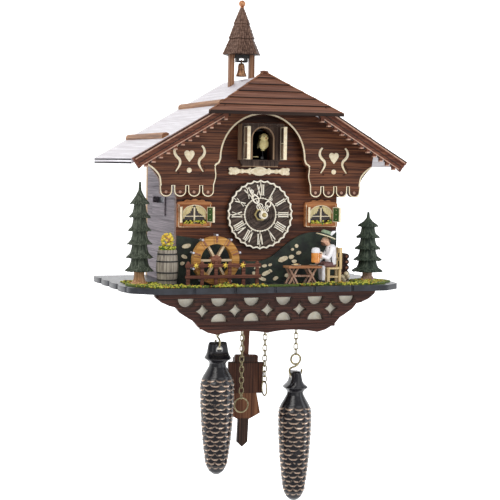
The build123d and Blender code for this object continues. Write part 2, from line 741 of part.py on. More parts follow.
with BuildPart() as mode_box:
    with BuildSketch(front(106)) as switch_box:
        with Locations((SWITCH_X, SWITCH_Z)):
            Rectangle(30, 18)
        with Locations((SWITCH_X, SWITCH_Z)):
            Rectangle(14, 5, mode=Mode.SUBTRACT)
    extrude(amount=12)
    with BuildSketch(front(94)) as switch_foot:
        with Locations((SWITCH_X, (SWITCH_Z + 9 + DECK_Z) / 2)):
            Rectangle(30, SWITCH_Z + 9 - DECK_Z)
    extrude(amount=2)
keep(mode_box, "switch_box")

with BuildPart() as mode_switch:
    with BuildSketch(front(109)) as switch_lever:
        with Locations((SWITCH_X, SWITCH_Z)):
            Rectangle(4, 4.6)
    extrude(amount=13)
keep(mode_switch, "mode_switch")

with BuildPart() as pendulum_drive:
    with BuildSketch(side(-14)) as drive_section:
        with Locations((PENDULUM_Y, -50)):
            Rectangle(14, 14)
        with Locations((PENDULUM_Y - 5.5, -64), (PENDULUM_Y + 5.5, -64)):
            Rectangle(3, -2 * (64 + DECK_Z))
    extrude(amount=28)
    with BuildSketch(front(PENDULUM_Y + 4.5)) as drive_pin:
        with Locations((0, PENDULUM_PIVOT_Z)):
            Circle(1.1)
    extrude(amount=9)
keep(pendulum_drive, "pendulum_drive")

# ---- apron under the deck -----------------------------------------------------------------------
LATTICE_STEP = 35.6
LATTICE_TOP = -85.0
LATTICE_BOTTOM = -109.5
LATTICE_HALF = 9.0
LATTICE_SINK = 8.6
APRON_BOTTOM = -122.8
apron_end = [
    (122.7, DECK_BOTTOM), (121.5, -83), (114.5, -88.5), (106, -92.2), (100.4, -93.4), (95.6, -99.1),
    (84.8, -106), (81.6, -107.6), (75.1, -115), (65.4, -120.4), (55.6, APRON_BOTTOM),
]


def half_moon(x, chord, sink):
    """An opening with one straight edge, bulging by sink above or below it."""
    with BuildLine() as moon:
        Line((x - LATTICE_HALF, chord), (x + LATTICE_HALF, chord))
        ThreePointArc((x + LATTICE_HALF, chord), (x, chord + sink), (x - LATTICE_HALF, chord))
    make_face(moon.line.edges())


def curved_diamond(x, z, half_width, half_height):
    """The four-pointed opening left between neighbouring circles."""
    points = [(x + half_width, z), (x, z + half_height), (x - half_width, z), (x, z - half_height)]
    with BuildLine() as diamond:
        for (x1, z1), (x2, z2) in zip(points, points[1:] + points[:1]):
            ThreePointArc((x1, z1), (x + (x1 + x2 - 2 * x) * 0.36, z + (z1 + z2 - 2 * z) * 0.36), (x2, z2))
    make_face(diamond.line.edges())


with BuildPart() as apron:
    with BuildSketch(front(APRON_FRONT + APRON_T)) as apron_outline:
        with BuildLine() as apron_edge:
            Polyline(*apron_end)
            ThreePointArc((55.6, APRON_BOTTOM), (28, -119.6), (0, APRON_BOTTOM + 0.6))
            Polyline((0, APRON_BOTTOM + 0.6), (0, DECK_BOTTOM), (122.7, DECK_BOTTOM))
        make_face()
        mirror(about=Plane.YZ)
    extrude(amount=APRON_T)
    with BuildSketch(front(APRON_FRONT + APRON_T)) as lattice:
        for i in (-2.5, -1.5, -0.5, 0.5, 1.5, 2.5):
            half_moon(LATTICE_STEP * i, LATTICE_TOP, -LATTICE_SINK)
        for i in (-1.5, -0.5, 0.5, 1.5):
            half_moon(LATTICE_STEP * i, LATTICE_BOTTOM, LATTICE_SINK)
        for i in (-2, -1, 0, 1, 2):
            curved_diamond(LATTICE_STEP * i, -98.2, 7.6, 9.2)
    extrude(amount=APRON_T, mode=Mode.SUBTRACT)
    with BuildSketch(front(APRON_FRONT)) as rails:
        with Locations((0, -115)):
            Rectangle(150, 3)
        with Locations((0, -81.5)):
            Rectangle(238, 3)
    extrude(amount=2)
keep(apron, "apron")

with BuildPart() as apron_backing:
    with BuildSketch(front(APRON_FRONT + APRON_T + 2)) as backing_face:
        Polygon(*mirrored([(112, DECK_BOTTOM), (96, -93), (80, -104), (64, -113)]), align=None)
    extrude(amount=2)
keep(apron_backing, "apron_backing")

# ---- yard in front of the house -----------------------------------------------------------------


def fir_tree(x, y, height, tiers, spread, trunk):
    """A turned fir tree: flared trunk, a stack of sharp skirts and a slim pointed top."""
    foot = DECK_Z + trunk
    step = 0.745 * (height - trunk) / (tiers - 1)
    outline = [(0, DECK_Z + MOSS_T), (9.5, DECK_Z + MOSS_T), (5.5, foot - 5), (5.5, foot)]
    for i in range(tiers):
        r = spread * (1 - 0.34 * i / (tiers - 1))
        z = foot + i * step
        outline += [(r, z), (r - 0.4, z + 1.4), (r * 0.58, z + step)]
    outline[-1] = (2.6, z + 0.6 * (DECK_Z + height - z))
    outline += [(1.8, DECK_Z + height), (0, DECK_Z + height)]
    with BuildPart() as tree:
        with BuildSketch(Plane.XZ) as tree_half:
            Polygon(*outline, align=None)
        revolve(axis=Axis.Z)
    return Pos(x, y - CASE_DEPTH, -HANG_HEIGHT) * tree.part


keep_group([fir_tree(-131, -6, 106.5, 6, 15.8, 14), fir_tree(126, -5, 76, 5, 18, 10.5)], "fir_trees")

BARREL_X = -103.0
BARREL_Y = -12.0
BARREL_H = 36.5
with BuildPart() as barrel:
    with BuildSketch(Plane.XZ) as stave_profile:
        with BuildLine() as stave_line:
            ThreePointArc((9.8, MOSS_T), (11.6, BARREL_H / 2), (9.8, BARREL_H))
            Polyline((9.8, BARREL_H), (0, BARREL_H), (0, MOSS_T), (9.8, MOSS_T))
        make_face()
    revolve(axis=Axis.Z)
barrel_part = Pos(BARREL_X, BARREL_Y - CASE_DEPTH, DECK_Z - HANG_HEIGHT) * barrel.part

with BuildPart() as barrel_flowers:
    with BuildSketch(level(DECK_Z + BARREL_H)) as flower_bed:
        with Locations((BARREL_X, BARREL_Y)):
            Circle(9.6)
    extrude(amount=5, taper=20)
    with BuildSketch(level(DECK_Z + BARREL_H + 5)) as flower_head:
        with Locations((BARREL_X, BARREL_Y)):
            Ellipse(6.5, 5)
    extrude(amount=13, taper=12)
keep_group([barrel_part, barrel_flowers.part], "flower_barrel")

FOOTING_T = 2.5
with BuildPart() as stone_footing:
    with BuildSketch(front(0)) as footing_outline:
        with BuildLine() as footing_edge:
            Polyline((-38, -30), (-90, -22), (-90, DECK_Z), (90, DECK_Z), (90, -19), (62, -19))
            Spline((62, -19), (46, -23), (29, -34), (11.5, -46.5), (-10, -49.5), (-38, -30))
        make_face()
        with Locations((WHEEL_X, WHEEL_Z)):
            Circle(2.2, mode=Mode.SUBTRACT)
        Circle(37.9, mode=Mode.SUBTRACT)
    extrude(amount=FOOTING_T)
keep(stone_footing, "stone_footing")

FENCE_Y = -31.0
FENCE_POSTS = [-86 + 15 * i for i in range(6)]
with BuildPart() as fence:
    with BuildSketch(front(FENCE_Y)) as fence_rails:
        with Locations((-48.5, -51.5), (-48.5, -63)):
            Rectangle(82, 3.4)
    extrude(amount=2)
    with BuildSketch(front(FENCE_Y)) as fence_posts:
        with Locations([(x, (DECK_Z + MOSS_T - 48) / 2 + 0.5) for x in FENCE_POSTS]):
            Rectangle(3.6, -48 - DECK_Z - MOSS_T + 2.2)
    extrude(amount=-2)
keep(fence, "fence")

with BuildPart() as mill_wheel:
    with BuildSketch(front(WHEEL_Y)) as wheel_face:
        with Locations((WHEEL_X, WHEEL_Z)):
            Circle(WHEEL_R)
            Circle(17, mode=Mode.SUBTRACT)
            Circle(5.5)
            with PolarLocations(11, 6):
                Rectangle(13, 2.2)
    extrude(amount=WHEEL_DEPTH)
    with BuildSketch(front(WHEEL_Y + 0.5)) as paddles:
        with Locations((WHEEL_X, WHEEL_Z)):
            with PolarLocations(WHEEL_R - 0.5, PADDLES, start_angle=90):
                Rectangle(6, 1.8)
    extrude(amount=WHEEL_DEPTH + 1)
    with BuildSketch(front(14)) as wheel_axle:
        with Locations((WHEEL_X, WHEEL_Z)):
            Circle(1.5)
    extrude(amount=14 - WHEEL_Y + WHEEL_DEPTH + 1.5)
keep(mill_wheel, "mill_wheel")

TABLE_TOP_Z = -53.5
with BuildPart() as table:
    with BuildSketch(level(TABLE_TOP_Z - 2.2)) as table_top:
        with Locations((43, -22)):
            Rectangle(38, 17)
    extrude(amount=2.2)
    leg_h = TABLE_TOP_Z - 2.2 - DECK_Z
    leg_turn = degrees(atan(leg_h / 9.5))
    with BuildSketch(front(-16)) as table_legs:
        for leg_x in (31, 52):
            with Locations((leg_x, DECK_Z + leg_h / 2)):
                Rectangle(sqrt(leg_h ** 2 + 9.5 ** 2) + 1, 2, rotation=leg_turn)
                Rectangle(sqrt(leg_h ** 2 + 9.5 ** 2) + 1, 2, rotation=-leg_turn)
    extrude(amount=2)
    extrude(table_legs.sketch.moved(Location((0, -10, 0))), amount=2)
    with BuildSketch(level(DECK_Z - 3)) as table_trim:
        Rectangle(300, 120)
    extrude(amount=3, mode=Mode.SUBTRACT)

CHAIR_SEAT_Z = -57.5
with BuildPart() as chair:
    with BuildSketch(level(CHAIR_SEAT_Z)) as chair_seat:
        with Locations((78, -20)):
            Rectangle(17, 14)
    extrude(amount=2.2)
    with BuildSketch(level(DECK_Z)) as chair_legs:
        with Locations((71.5, -15), (71.5, -25), (84.5, -15), (84.5, -25)):
            Rectangle(3, 3)
    extrude(amount=CHAIR_SEAT_Z - DECK_Z)
    with BuildSketch(level(CHAIR_SEAT_Z + 2.2)) as chair_back:
        with Locations((85.3, -20)):
            Rectangle(2.4, 14)
    extrude(amount=21)
keep_group([table.part, chair.part], "table_and_chair")

HIP_Z = CHAIR_SEAT_Z + 2.2
with BuildPart() as drinker:
    with BuildSketch(level(HIP_Z)) as hips:
        with Locations((75, -20)):
            RectangleRounded(17, 12, 3)
    extrude(amount=7)
    with BuildSketch(level(HIP_Z + 7)) as waist:
        with Locations((77, -20)):
            Ellipse(6, 5.5)
    with BuildSketch(level(HIP_Z + 24)) as shoulders:
        with Locations((75, -20)):
            Ellipse(5, 6)
    loft()
    with BuildSketch(level(DECK_Z)) as shins:
        with Locations((66, -24), (66, -16)):
            Circle(2.4)
    extrude(amount=HIP_Z + 4 - DECK_Z)
    with Locations(level(HIP_Z + 29).origin + Vector(70.5, -20, 0)):
        Sphere(5)
    with BuildSketch(Plane(origin=level(HIP_Z + 32).origin + Vector(71.5, -20, 0), x_dir=(1, 0, -0.33),
                           z_dir=(0.33, 0, 1))) as hat_brim:
        Circle(9.5)
    extrude(amount=1.4)
    with BuildSketch(hat_brim.workplanes[0].offset(1.4)) as hat_crown:
        Circle(6.6)
    extrude(amount=5, taper=10)
keep(drinker, "drinker")

SHOULDER_X = 74.0
SHOULDER_Z = -36.0
ARM_Y = -29.8
MUG_X = 55.0
with BuildPart() as drinker_arm:
    with BuildSketch(front(ARM_Y + 3)) as arm_outline:
        with Locations((SHOULDER_X, SHOULDER_Z)):
            Circle(3.2)
        with BuildLine() as arm_line:
            Polyline((SHOULDER_X, SHOULDER_Z), (69, -45.5), (61, -42.5))
        trace(arm_line.line, 4.6)
    extrude(amount=4.6)
    with BuildSketch(level(-49.5)) as mug:
        with Locations((MUG_X, ARM_Y + 0.7)):
            Circle(4.6)
    extrude(amount=16)
    with BuildSketch(front(ARM_Y + 1.7)) as mug_handle:
        with Locations((MUG_X + 5.4, -42.5)):
            Ellipse(3.6, 4.6)
            Ellipse(1.9, 3, mode=Mode.SUBTRACT)
    extrude(amount=2)
keep(drinker_arm, "drinker_arm")

with BuildPart() as log_pile:
    with BuildSketch(front(16)) as log_stack:
        with Locations([(94.5 + 6.4 * i, DECK_Z + 3.3 + 6 * j) for i in range(2) for j in range(5)]):
            Circle(3.3)
    extrude(amount=22)
    with BuildSketch(front(14)) as log_frame:
        with Locations((97.6, DECK_Z + 14.5)):
            Rectangle(2, 29)
    extrude(amount=19)
keep(log_pile, "log_pile")

# ---- windows ------------------------------------------------------------------------------------
WINDOW_X = 71.2
WINDOW_BOTTOM = -13.7
WINDOW_TOP = 12.0
SHUTTER_W = 10.5
SHUTTER_OPEN = 110.0
with BuildPart() as windows:
    with BuildSketch(front(0)) as window_outline:
        with Locations((WINDOW_X, (WINDOW_TOP + WINDOW_BOTTOM) / 2)):
            Rectangle(38, WINDOW_TOP - WINDOW_BOTTOM)
        with Locations([(WINDOW_X + 7 * i, WINDOW_TOP - 0.3 * abs(i)) for i in range(-2, 3)]):
            Circle(4.4)
        with Locations((WINDOW_X, -1.5)):
            Rectangle(26, 11, mode=Mode.SUBTRACT)
        with Locations((WINDOW_X, 1.5)):
            Ellipse(13, 8, mode=Mode.SUBTRACT)
    extrude(amount=3)
    with BuildSketch(front(0)) as glass:
        with Locations((WINDOW_X, 0)):
            Rectangle(30, 22)
    extrude(amount=1)
    with BuildSketch(front(-1)) as mullion:
        with Locations((WINDOW_X, 0)):
            Rectangle(1.4, 20)
    extrude(amount=1)
    with BuildSketch(front(-3)) as flower_box:
        with Locations((WINDOW_X, -9.6)):
            Rectangle(24, 5)
    extrude(amount=3)
    mirror(about=Plane.YZ)

with BuildPart() as shutters:
    for window in (-WINDOW_X, WINDOW_X):
        for hand in (-1, 1):
            swing = radians(SHUTTER_OPEN)
            hinge = level(-8).origin + Vector(window + hand * 14.6, -4.4, 0)
            across = (-hand * cos(swing), -sin(swing), 0)
            with BuildSketch(Plane(origin=hinge, x_dir=across, z_dir=(0, 0, 1))):
                with Locations((SHUTTER_W / 2 - 1, 0)):
                    Rectangle(SHUTTER_W, 2)
            extrude(amount=16)
keep_group([windows.part, shutters.part], "windows")

# ---- bell tower ---------------------------------------------------------------------------------
POST_OFF = 11.7
POST_W = 5.6
with BuildPart() as tower_posts:
    with BuildSketch(level(134)) as post_feet:
        with Locations((-POST_OFF, TOWER_Y), (POST_OFF, TOWER_Y)):
            Rectangle(POST_W, POST_W)
    extrude(amount=TOWER_EAVE - 134)
    with BuildSketch(front(TOWER_Y + 20)) as roof_below:
        Polygon((0, RIDGE_Z), (40, roof_top(40)), (40, 120), (-40, 120), (-40, roof_top(40)), align=None)
    extrude(amount=40, mode=Mode.SUBTRACT)
keep(tower_posts, "tower_posts")

TIERS = ((172.0, 190.0, 22.4, 13.8), (190.0, 206.0, 15.4, 8.8), (206.0, 224.0, 10.0, 1.6))
with BuildPart() as tower_roof:
    for tier_bottom, tier_top, tier_r, top_r in TIERS:
        with BuildSketch(level(tier_bottom)) as tier_lower:
            with Locations((0, TOWER_Y)):
                RegularPolygon(tier_r, 6)
        with BuildSketch(level(tier_top)) as tier_upper:
            with Locations((0, TOWER_Y)):
                RegularPolygon(top_r, 6)
        loft()

with BuildPart() as finial:
    with Locations(level(227.7).origin + Vector(0, TOWER_Y, 0)):
        Sphere(3.7)
keep_group([tower_roof.part, finial.part], "tower_roof")

BELL_PIVOT_Z = 165.0
with BuildPart() as bell_hanger:
    with BuildSketch(front(TOWER_Y + 3.5)) as hanger_face:
        with Locations((0, 170.2)):
            Rectangle(16, 3.6)
        with Locations((-5, 166.4), (5, 166.4)):
            Rectangle(2.6, 5)
    extrude(amount=7)
    with BuildSketch(side(-5)) as hanger_pin:
        with Locations((TOWER_Y, BELL_PIVOT_Z)):
            Circle(1.15)
    extrude(amount=10)
keep(bell_hanger, "bell_hanger")

with BuildPart() as bell:
    with BuildSketch(Plane.XZ) as bell_profile:
        Polygon(
            (0, -1.6), (2.4, -2), (3.6, -4.2), (4.2, -10), (6, -15.2), (6, -16.6), (5, -16.6),
            (3.4, -11), (2.6, -4.6), (0, -3.6), align=None,
        )
    revolve(axis=Axis.Z)
    with BuildSketch(Plane.YZ) as bell_crown:
        Circle(2.2)
        Circle(1.2, mode=Mode.SUBTRACT)
    extrude(amount=1, both=True)
bell_part = Pos(0, TOWER_Y - CASE_DEPTH, BELL_PIVOT_Z - HANG_HEIGHT) * bell.part
bell_part.label = "bell"
PIECES["bell"] = bell_part

# ---- pendulum -----------------------------------------------------------------------------------
lean = radians(PENDULUM_LEAN)
PENDULUM_PLANE = Plane(
    origin=(0, PENDULUM_Y - CASE_DEPTH, PENDULUM_PIVOT_Z - HANG_HEIGHT), x_dir=(cos(lean), 0, -sin(lean)),
    z_dir=(0, -1, 0),
)
ROD_W = 6.8
with BuildPart() as pendulum_rod:
    with BuildSketch(PENDULUM_PLANE.offset(-1.6)) as rod_face:
        with Locations((0, -47)):
            Rectangle(ROD_W, 94)
        Circle(ROD_W / 2)
        Circle(1.1 + RUN, mode=Mode.SUBTRACT)
    extrude(amount=3.2)
keep(pendulum_rod, "pendulum_rod")

with BuildPart() as pendulum_bob:
    with BuildSketch(PENDULUM_PLANE.offset(1.6)) as bob_face:
        with Locations((0, -115.3)):
            Rectangle(40, 34)
        with Locations((0, -95)):
            Rectangle(26.6, 9.6)
        Polygon((-13.8, -132), (13.8, -132), (19.2, -154), (6, -161), (6, -185.5), (0, -191), (-6, -185.5),
                (-6, -161), (-19.2, -154), align=None)
    extrude(amount=3.4)
    with BuildSketch(PENDULUM_PLANE.offset(-3.4)) as bob_back:
        with Locations((0, -118)):
            Rectangle(26, 48)
        with Locations((0, -94)):
            Rectangle(ROD_W + 0.6, 50, mode=Mode.SUBTRACT)
    extrude(amount=5)
keep(pendulum_bob, "pendulum_bob")

# ---- chains, hooks and weights ------------------------------------------------------------------


def chain_link():
    """One oval link of round wire, hanging down from its top, lying in the local XZ plane."""
    straight = LINK_L - LINK_W
    with BuildPart() as link:
        with BuildLine(Plane.XZ) as link_path:
            r = (LINK_W - LINK_D) / 2
            top = -LINK_W / 2
            bottom = top - straight
            Line((r, top), (r, bottom))
            ThreePointArc((r, bottom), (0, bottom - r), (-r, bottom))
            Line((-r, bottom), (-r, top))
            ThreePointArc((-r, top), (0, top + r), (r, top))
        with BuildSketch(Plane(origin=(r, 0, top), z_dir=(0, 0, -1))) as link_wire:
            Circle(LINK_D / 2)
        sweep(path=link_path.wires()[0])
    return link.part


LINK = chain_link()


def chain(x, y, top, count, first_turn):
    """Links hooked through each other, each turned a quarter against the one above."""
    hung_from = Pos(x, y - CASE_DEPTH, top - HANG_HEIGHT)
    return [hung_from * Pos(0, 0, -i * LINK_PITCH) * Rot(0, 0, first_turn + 90 * (i % 2)) * LINK
            for i in range(count)]


def wire_ring(x, y, z, radius, wire, turn):
    return Pos(x, y - CASE_DEPTH, z - HANG_HEIGHT) * Rot(0, 0, turn) * Rot(90, 0, 0) * Torus(radius, wire / 2)


def weight_hook(x, y, top, turn):
    """An S-shaped wire: an eye above, and an open hook below that goes through the weight's cap."""
    with BuildPart() as hook:
        with BuildLine(Plane.XZ) as hook_line:
            eye_z = -HOOK_D / 2 - RING_R
            low_z = eye_z - 12.4
            eye = CenterArc((0, eye_z), RING_R, -40, 340)
            start = eye @ 0
            neck = (0, eye_z - RING_R - 2.2)
            Spline((start.X, start.Z), neck, (-HOOK_R, low_z), tangents=((-0.6, -0.8), (0, -1)))
            ThreePointArc((-HOOK_R, low_z), (0, low_z - HOOK_R), (HOOK_R, low_z))
            Line((HOOK_R, low_z), (HOOK_R, low_z + 1.4))
        path = hook_line.wires()[0]
        with BuildSketch(Plane(origin=path @ 0, z_dir=path % 0)) as hook_wire:
            Circle(HOOK_D / 2)
        sweep(path=path)
    return Pos(x, y - CASE_DEPTH, top - HANG_HEIGHT) * Rot(0, 0, turn) * hook.part


WEIGHT_PROFILE = [
    (0, -15.5), (11.5, -15.5), (13.8, -17), (13.2, -18.8), (9.6, -20.5), (8.8, -23), (9.6, -26),
    (12.5, -31), (15.6, -36), (17.8, -43), (18.2, -50), (17.8, -68), (16.4, -90), (14.2, -112),
    (11.6, -130), (8.6, -137.5), (4.5, -140.6), (0, -141.4),
]


def pine_cone_weight(x, y, top, turn):
    """A weight shaped like a fir cone, with a flattened cap and a hole for its hook."""
    with BuildPart() as weight:
        with BuildSketch(Plane.XZ) as cone_half:
            Polygon(*WEIGHT_PROFILE, align=None)
        revolve(axis=Axis.Z)
        with BuildSketch(Plane.XY.offset(-16)) as cap_foot:
            Ellipse(12.4, 12.4)
        with BuildSketch(Plane.XY.offset(-9)) as cap_waist:
            Ellipse(11.2, 7.6)
        with BuildSketch(Plane.XY) as cap_top:
            Ellipse(8.2, 6.8)
        loft()
        with BuildSketch(Plane.XZ.offset(20)) as eye_hole:
            with Locations((0, -7.6)):
                Circle(3.2)
        extrude(amount=-40, mode=Mode.SUBTRACT)
        Torus(HOOK_R, HOOK_D / 2 + 0.7, rotation=(0, 90, 0), mode=Mode.SUBTRACT)
    return Pos(x, y - CASE_DEPTH, top - HANG_HEIGHT) * Rot(0, 0, turn) * weight.part


def weight_set(x, links, first_turn, hook_turn, weight_turn, name):
    ring_top = WEIGHT_EYE_Z - links * LINK_PITCH
    keep_group(
        chain(x, WEIGHT_Y, WEIGHT_EYE_Z, links, first_turn) + [weight_hook(x, WEIGHT_Y, ring_top, hook_turn)],
        name + "_weight_chain",
    )
    cap_top = ring_top - HOOK_D / 2 - RING_R - 12.4
    cone = pine_cone_weight(x, WEIGHT_Y, cap_top, weight_turn)
    cone.label = name + "_weight"
    PIECES[cone.label] = cone


weight_set(-WEIGHT_X, LEFT_LINKS, 90, 90, 0, "left")
weight_set(WEIGHT_X, RIGHT_LINKS, 0, 0, 90, "right")


def pull_chain(x, links, ring_turn, label):
    ring_z = PULL_EYE_Z - links * LINK_PITCH - PULL_RING_R - 0.8
    keep_group(
        chain(x, PULL_Y, PULL_EYE_Z, links, 0) + [wire_ring(x, PULL_Y, ring_z, PULL_RING_R, 1.6, ring_turn)],
        label,
    )


pull_chain(-PULL_X, LEFT_PULL_LINKS, 0, "left_pull_chain")
pull_chain(PULL_X, RIGHT_PULL_LINKS, 90, "right_pull_chain")

EYE_R = 2.0
EYES = (
    (-WEIGHT_X, WEIGHT_Y, WEIGHT_EYE_Z, 0), (WEIGHT_X, WEIGHT_Y, WEIGHT_EYE_Z, 90),
    (-PULL_X, PULL_Y, PULL_EYE_Z, 90), (PULL_X, PULL_Y, PULL_EYE_Z, 90),
)


def screw_eye(x, y, z, turn):
    length = DECK_BOTTOM - z - EYE_R
    stem = Pos(x, y - CASE_DEPTH, DECK_BOTTOM - length / 2 - HANG_HEIGHT) * Cylinder(LINK_D / 2, length)
    return stem + wire_ring(x, y, z, EYE_R, LINK_D, turn)


keep_group([screw_eye(*eye) for eye in EYES], "chain_eyes")

# ---- write the pieces ---------------------------------------------------------------------------
os.makedirs("parts", exist_ok=True)
for label, piece in PIECES.items():
    export_step(piece, f"parts/{label}.step")
print(len(PIECES), "pieces")
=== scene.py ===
import math
import random

import bpy
from mathutils import Matrix, Vector


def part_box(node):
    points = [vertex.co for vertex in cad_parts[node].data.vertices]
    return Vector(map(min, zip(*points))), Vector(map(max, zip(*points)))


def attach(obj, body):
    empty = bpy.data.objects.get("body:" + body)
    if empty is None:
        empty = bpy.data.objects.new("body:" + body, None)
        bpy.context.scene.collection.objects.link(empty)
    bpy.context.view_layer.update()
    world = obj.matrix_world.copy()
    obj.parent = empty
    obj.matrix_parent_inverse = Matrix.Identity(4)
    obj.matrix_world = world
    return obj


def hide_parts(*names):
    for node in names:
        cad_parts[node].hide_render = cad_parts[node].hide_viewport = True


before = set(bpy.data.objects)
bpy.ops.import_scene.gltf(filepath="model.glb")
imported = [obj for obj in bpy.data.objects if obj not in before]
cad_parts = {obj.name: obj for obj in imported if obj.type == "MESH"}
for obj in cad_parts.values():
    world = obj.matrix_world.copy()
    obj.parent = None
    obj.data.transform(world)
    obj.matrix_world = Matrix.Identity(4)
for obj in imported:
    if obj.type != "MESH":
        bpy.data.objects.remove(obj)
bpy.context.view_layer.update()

# ---- studio ---------------------------------------------------------------------------------------
# The clock hangs free in front of a plain pale backdrop, lit by a big soft panel from the upper left,
# a weaker one from the right and an even white surround, so that dark wood and black gloss both read.
BACKDROP_Y = 0.55

sweep = bpy.data.meshes.new("backdrop")
sweep_profile = [(-3.0, -1.6), (0.1, -1.6), (0.4, -1.5), (0.53, -1.25), (BACKDROP_Y, -0.9), (BACKDROP_Y, 2.6)]
sweep_rows = [(x, y, z) for x in (-3.5, 3.5) for y, z in sweep_profile]
sweep_n = len(sweep_profile)
sweep.from_pydata(sweep_rows, [], [(i, i + 1, i + 1 + sweep_n, i + sweep_n) for i in range(sweep_n - 1)])
sweep.shade_smooth()
backdrop = bpy.data.objects.new("backdrop", sweep)
bpy.context.scene.collection.objects.link(backdrop)
backdrop_paper = bpy.data.materials.new("backdrop_paper")
backdrop_paper.use_nodes = True
paper_shader = backdrop_paper.node_tree.nodes["Principled BSDF"]
paper_shader.inputs["Base Color"].default_value = (0.93, 0.93, 0.93, 1)
paper_shader.inputs["Roughness"].default_value = 0.9
paper_shader.inputs["Emission Color"].default_value = (1, 1, 1, 1)
paper_shader.inputs["Emission Strength"].default_value = 0.6
sweep.materials.append(backdrop_paper)

world = bpy.data.worlds.new("studio")
world.use_nodes = True
world.node_tree.nodes["Background"].inputs["Color"].default_value = (0.95, 0.97, 1.0, 1)
world.node_tree.nodes["Background"].inputs["Strength"].default_value = 0.62
bpy.context.scene.world = world


def soft_panel(name, place, aim, width, height, power, tint):
    """A rectangular lamp at a place in metres, turned to face another."""
    light = bpy.data.lights.new(name, "AREA")
    light.shape = "RECTANGLE"
    light.size = width
    light.size_y = height
    light.energy = power
    light.color = tint
    lamp = bpy.data.objects.new(name, light)
    lamp.location = place
    lamp.rotation_euler = (Vector(aim) - Vector(place)).to_track_quat("-Z", "Y").to_euler()
    bpy.context.scene.collection.objects.link(lamp)


soft_panel("key_panel", (-1.3, -1.1, 1.5), (0, -0.1, 0), 1.2, 1.2, 21, (1, 0.98, 0.95))
soft_panel("front_panel", (0.5, -1.9, 0.5), (0, -0.1, -0.1), 1.4, 1.4, 8, (1, 1, 1))
soft_panel("right_strip", (1.3, -0.7, 0.1), (0, -0.1, -0.2), 0.4, 1.4, 5, (0.9, 0.94, 1))

camera_data = bpy.data.cameras.new("camera")
camera_data.lens = 98.4
camera_data.sensor_width = 36.0
camera = bpy.data.objects.new("camera", camera_data)
yaw, pitch, roll = (math.radians(a) for a in (19.678, 3.584, 0.813))
forward = Vector((math.sin(yaw) * math.cos(pitch), math.cos(yaw) * math.cos(pitch), -math.sin(pitch)))
level_right = Vector((math.cos(yaw), -math.sin(yaw), 0))
level_up = level_right.cross(forward)
camera_right = level_right * math.cos(roll) + level_up * math.sin(roll)
camera_up = level_up * math.cos(roll) - level_right * math.sin(roll)
camera.matrix_world = Matrix.Translation((-0.49535, -1.47972, -0.04721)) @ Matrix(
    (camera_right, camera_up, -forward)
).transposed().to_4x4()
bpy.context.scene.collection.objects.link(camera)
bpy.context.scene.camera = camera
bpy.context.scene.view_settings.view_transform = "Standard"

# ---- walls, deck and back of the house ------------------------------------------------------------
# A plywood box: front and side boards glued into a deck that sticks out in front as the yard, with a
# thin back board that carries the hanger plate and a hinged door for the cells. All stained or painted.
WALL_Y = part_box("front_wall")[0][1]
DIAL_Z = (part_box("dial_disc")[0][2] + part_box("dial_disc")[1][2]) / 2
random.seed(11)


def at(x, y, z):
    """A point given in millimetres from the dial centre (x, z) and the face of the front wall (y)."""
    return Vector((x / 1000, WALL_Y + y / 1000, DIAL_Z + z / 1000))


# A block's faces, with its corners listed so that z changes first, then y, then x.
BLOCK_FACES = [(0, 1, 3, 2), (4, 6, 7, 5), (0, 4, 5, 1), (2, 3, 7, 6), (0, 2, 6, 4), (1, 5, 7, 3)]


